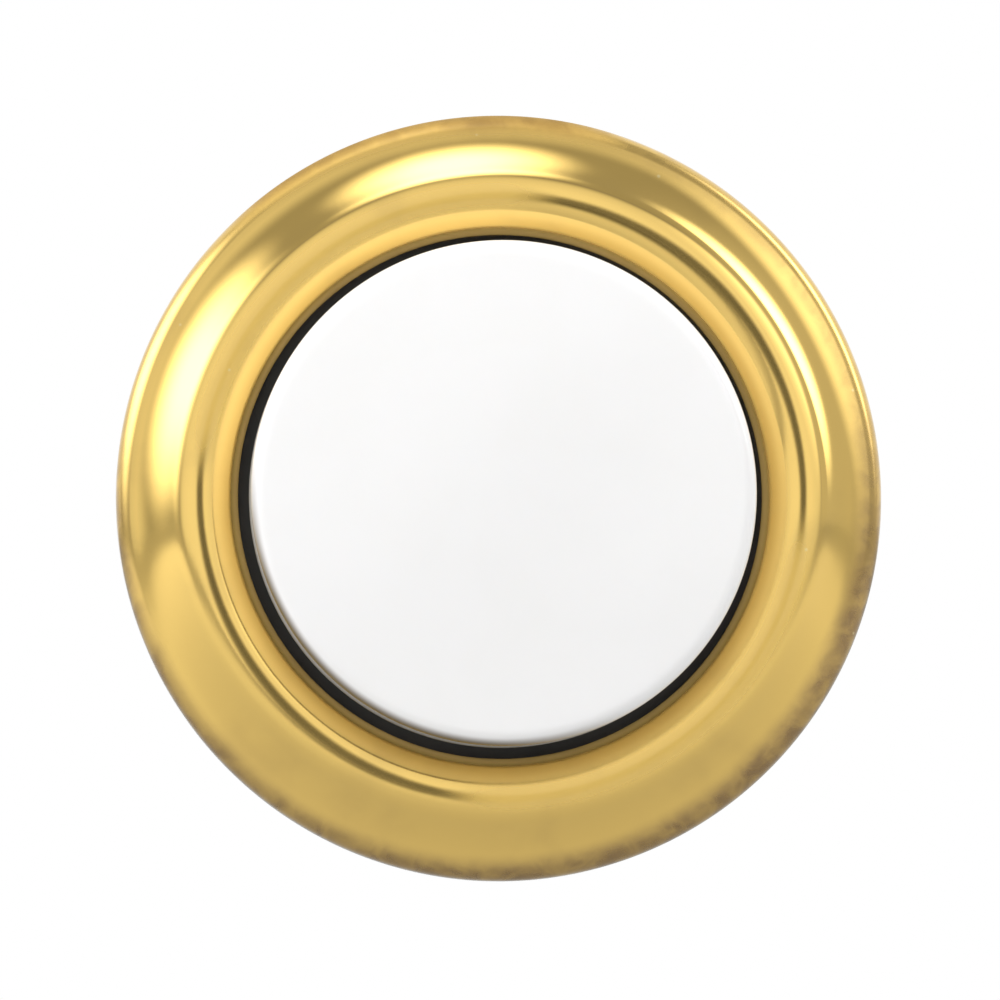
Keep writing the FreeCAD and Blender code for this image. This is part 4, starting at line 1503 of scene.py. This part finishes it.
@dataclass
class Studio:
    """Pale floor, soft lamps, a white backdrop and the camera at the photograph's angle.

    The arm is the dark shape of the camera and its arm, which only the metal shows. The floor's
    spans are distances from the axis, and the room's are parts of a direction.
    """

    azimuth: float = -2.6
    elevation: float = -2.7
    distance: float = 450.0
    frame_width: float = 33.15
    aim: tuple[float, float, float] = (0.036, -0.9, -0.066)
    arm_angle: float = 50.0
    arm_length: float = 76.0
    arm_width: float = 36.0
    arm_middle: tuple[float, float, float] = (21.0, -300.0, 13.0)
    arm_steps: int = 48
    arm_tone: Colour = (0.02, 0.02, 0.02)
    arm_edge_tone: Colour = (0.06, 0.06, 0.06)
    arm_span: Span = (0.35, 1.0)
    floor_drop: float = 60.0
    floor_size: float = 4000.0
    floor_shade: Colour = (0.42, 0.42, 0.415)
    floor_pale: Colour = (0.62, 0.62, 0.615)
    room: Colour = (0.37, 0.37, 0.37)
    pale_side: Colour = (0.58, 0.58, 0.58)
    white: Colour = (1.0, 1.0, 1.0)
    shade_span: Span = (5.0, 90.0)
    side_span: Span = (0.0, 240.0)
    front_span: Span = (80.0, 360.0)
    paper_clouds: float = 180.0
    facing_span: Span = (0.70, 0.99)
    backdrop_span: Span = (-0.05, 0.25)
    pale_side_span: Span = (0.35, 0.75)
    lamps: tuple[Softbox, ...] = (
        Softbox(155.0, 72.0, 620.0, 1120.0, 3.6),
        Softbox(95.5, 71.0, 500.0, 770.0, 3.6),
        Softbox(33.0, 82.0, 760.0, 330.0, 4.2),
        Softbox(33.0, 37.0, 420.0, 380.0, 1.1),
        Softbox(80.0, 25.0, 500.0, 500.0, 1.25, mirrored=False),
    )

    def place_camera(self) -> None:
        """Aim the camera from the lower left, a few degrees off the axis."""
        camera = bpy.data.cameras.new("camera")
        camera.angle = 2.0 * math.atan(self.frame_width / 2.0 / self.distance)
        camera.clip_start = 0.01
        turn, tilt = math.radians(self.azimuth), math.radians(self.elevation)
        toward = Vector(
            (math.sin(turn) * math.cos(tilt), -math.cos(turn) * math.cos(tilt), math.sin(tilt))
        )
        holder = bpy.data.objects.new("camera", camera)
        holder.location = (Vector(self.aim) + toward * self.distance) * MM
        holder.rotation_euler = toward.to_track_quat("Z", "Y").to_euler()
        bpy.context.scene.collection.objects.link(holder)
        bpy.context.scene.camera = holder

    def show_camera_in_metal(self) -> None:
        """Hang a dark oval with a soft edge where the metal mirrors the camera and its arm."""
        cos, sin = ring_point(1.0, self.arm_angle)
        points = []
        for k in range(self.arm_steps):
            along, aside = ring_point(1.0, 360.0 * k / self.arm_steps)
            along, aside = along * self.arm_length, aside * self.arm_width
            points.append((along * cos - aside * sin, 0.0, along * sin + aside * cos))
        card = Solid("camera_shape", points, [range(self.arm_steps)]).moved(*self.arm_middle)
        material = bpy.data.materials.new("camera_black")
        graph = Graph(material)
        across, _, up = graph.parts(graph.place())
        across, up = across - self.arm_middle[0], up - self.arm_middle[2]
        along = (across * cos + up * sin) / self.arm_length
        aside = (up * cos - across * sin) / self.arm_width
        off_middle = (along * along + aside * aside) ** 0.5
        tone = graph.mix(off_middle.at_most(1.0), self.arm_tone, self.arm_edge_tone)
        alpha = (1.0 - off_middle.rise(*self.arm_span)) * (0.88 + along * 0.1)
        graph.surface(Base_Color=tone, Roughness=0.9, Alpha=alpha)
        card.piece.data.materials.append(material)
        card.piece.visible_camera = False
        card.piece.visible_diffuse = False
        card.piece.visible_shadow = False

    def lay_floor(self) -> None:
        """Lay the floor well under the object, which hangs as it would in its wall."""
        half = self.floor_size / 2.0
        corners = [(-half, -half), (half, -half), (half, half), (-half, half)]
        points = [(x, y, -self.floor_drop) for x, y in corners]
        floor = Solid("floor", points, [(0, 1, 2, 3)])
        material = bpy.data.materials.new("floor_paper")
        graph = Graph(material)
        place = graph.place()
        across, depth, _ = graph.parts(place)
        # painted shadow: the floor is darker near the object and paler far to the sides and in
        # front
        near = 1.0 - ((across * across + depth * depth) ** 0.5).rise(*self.shade_span)
        side = abs(across).rise(*self.side_span)
        front = (-1.0 * depth).rise(*self.front_span) * 0.7
        clouds = graph.noise(place, self.paper_clouds, 2.0)
        far = 1.0 - (1.0 - side) * (1.0 - front)
        pale = (far * 0.9 + clouds * 0.1) * (1.0 - near * 0.5)
        graph.surface(Base_Color=graph.mix(pale, self.floor_shade, self.floor_pale), Roughness=0.9)
        floor.piece.data.materials.append(material)

    def light_room(self) -> None:
        """Give the world a white backdrop behind the object and a plain grey room in front."""
        world = bpy.data.worlds.new("studio")
        bpy.context.scene.world = world
        graph = Graph(world)
        direction = graph.node("ShaderNodeTexCoord", output="Generated")
        across, forward, _ = graph.parts(direction)
        facing = (-1.0 * forward).rise(*self.facing_span)
        backdrop = forward.rise(*self.backdrop_span)
        room = graph.mix(across.rise(*self.pale_side_span), self.room, self.pale_side)
        room = graph.mix(facing, room, self.white)
        room = graph.mix(backdrop, room, self.white)
        seen = graph.node("ShaderNodeLightPath", output="Is Camera Ray")
        through = graph.node("ShaderNodeLightPath", output="Is Transmission Ray")
        colour = graph.mix((seen + through).at_most(1.0), room, self.white)
        background = graph.node("ShaderNodeBackground", sockets={"Color": colour, "Strength": 1.0})
        graph.node("ShaderNodeOutputWorld", sockets={"Surface": background})

    def build(self) -> None:
        """Set the stage, the light and the camera."""
        self.lay_floor()
        self.light_room()
        for number, lamp in enumerate(self.lamps, 1):
            lamp.build(f"softbox_{number}")
        self.place_camera()
        self.show_camera_in_metal()
        bpy.context.scene.view_settings.view_transform = "Standard"
        LOG.info("studio: %d lamps", len(self.lamps))


def main() -> None:
    """Build the push button's looks and the studio round it."""
    logging.basicConfig(level=logging.INFO, format="%(message)s")
    rim_high = reach("rim")[1]
    button_low, button_high = reach("button")
    spring_low, spring_high = reach("return_spring")
    lamp_low, lamp_high = reach("lamp")
    stake_reach = PushButton.stake_reach
    travel = frame["joints"][0]["range_m"][1] / MM
    assemblies = [
        Rim(edge_radius=rim_high.x),
        PushButton(button_high.x, button_low.y, button_high.y - stake_reach),
        Housing(barrel_end=reach("housing")[1].y),
        TerminalBlock(rear=reach("terminal_block")[1].y),
        Terminal("right", 0.0),
        Terminal("left", 180.0),
        ReturnSpring(spring_low.y, spring_high.y, travel),
        Lamp(lamp_low.y, lamp_high.y),
    ]
    for assembly in assemblies:
        assembly.build()
    dress_node("contact_bridge", BRONZE)
    dress_node("lamp_holder", NYLON)
    Studio().build()


if __name__ == "__main__":
    main()
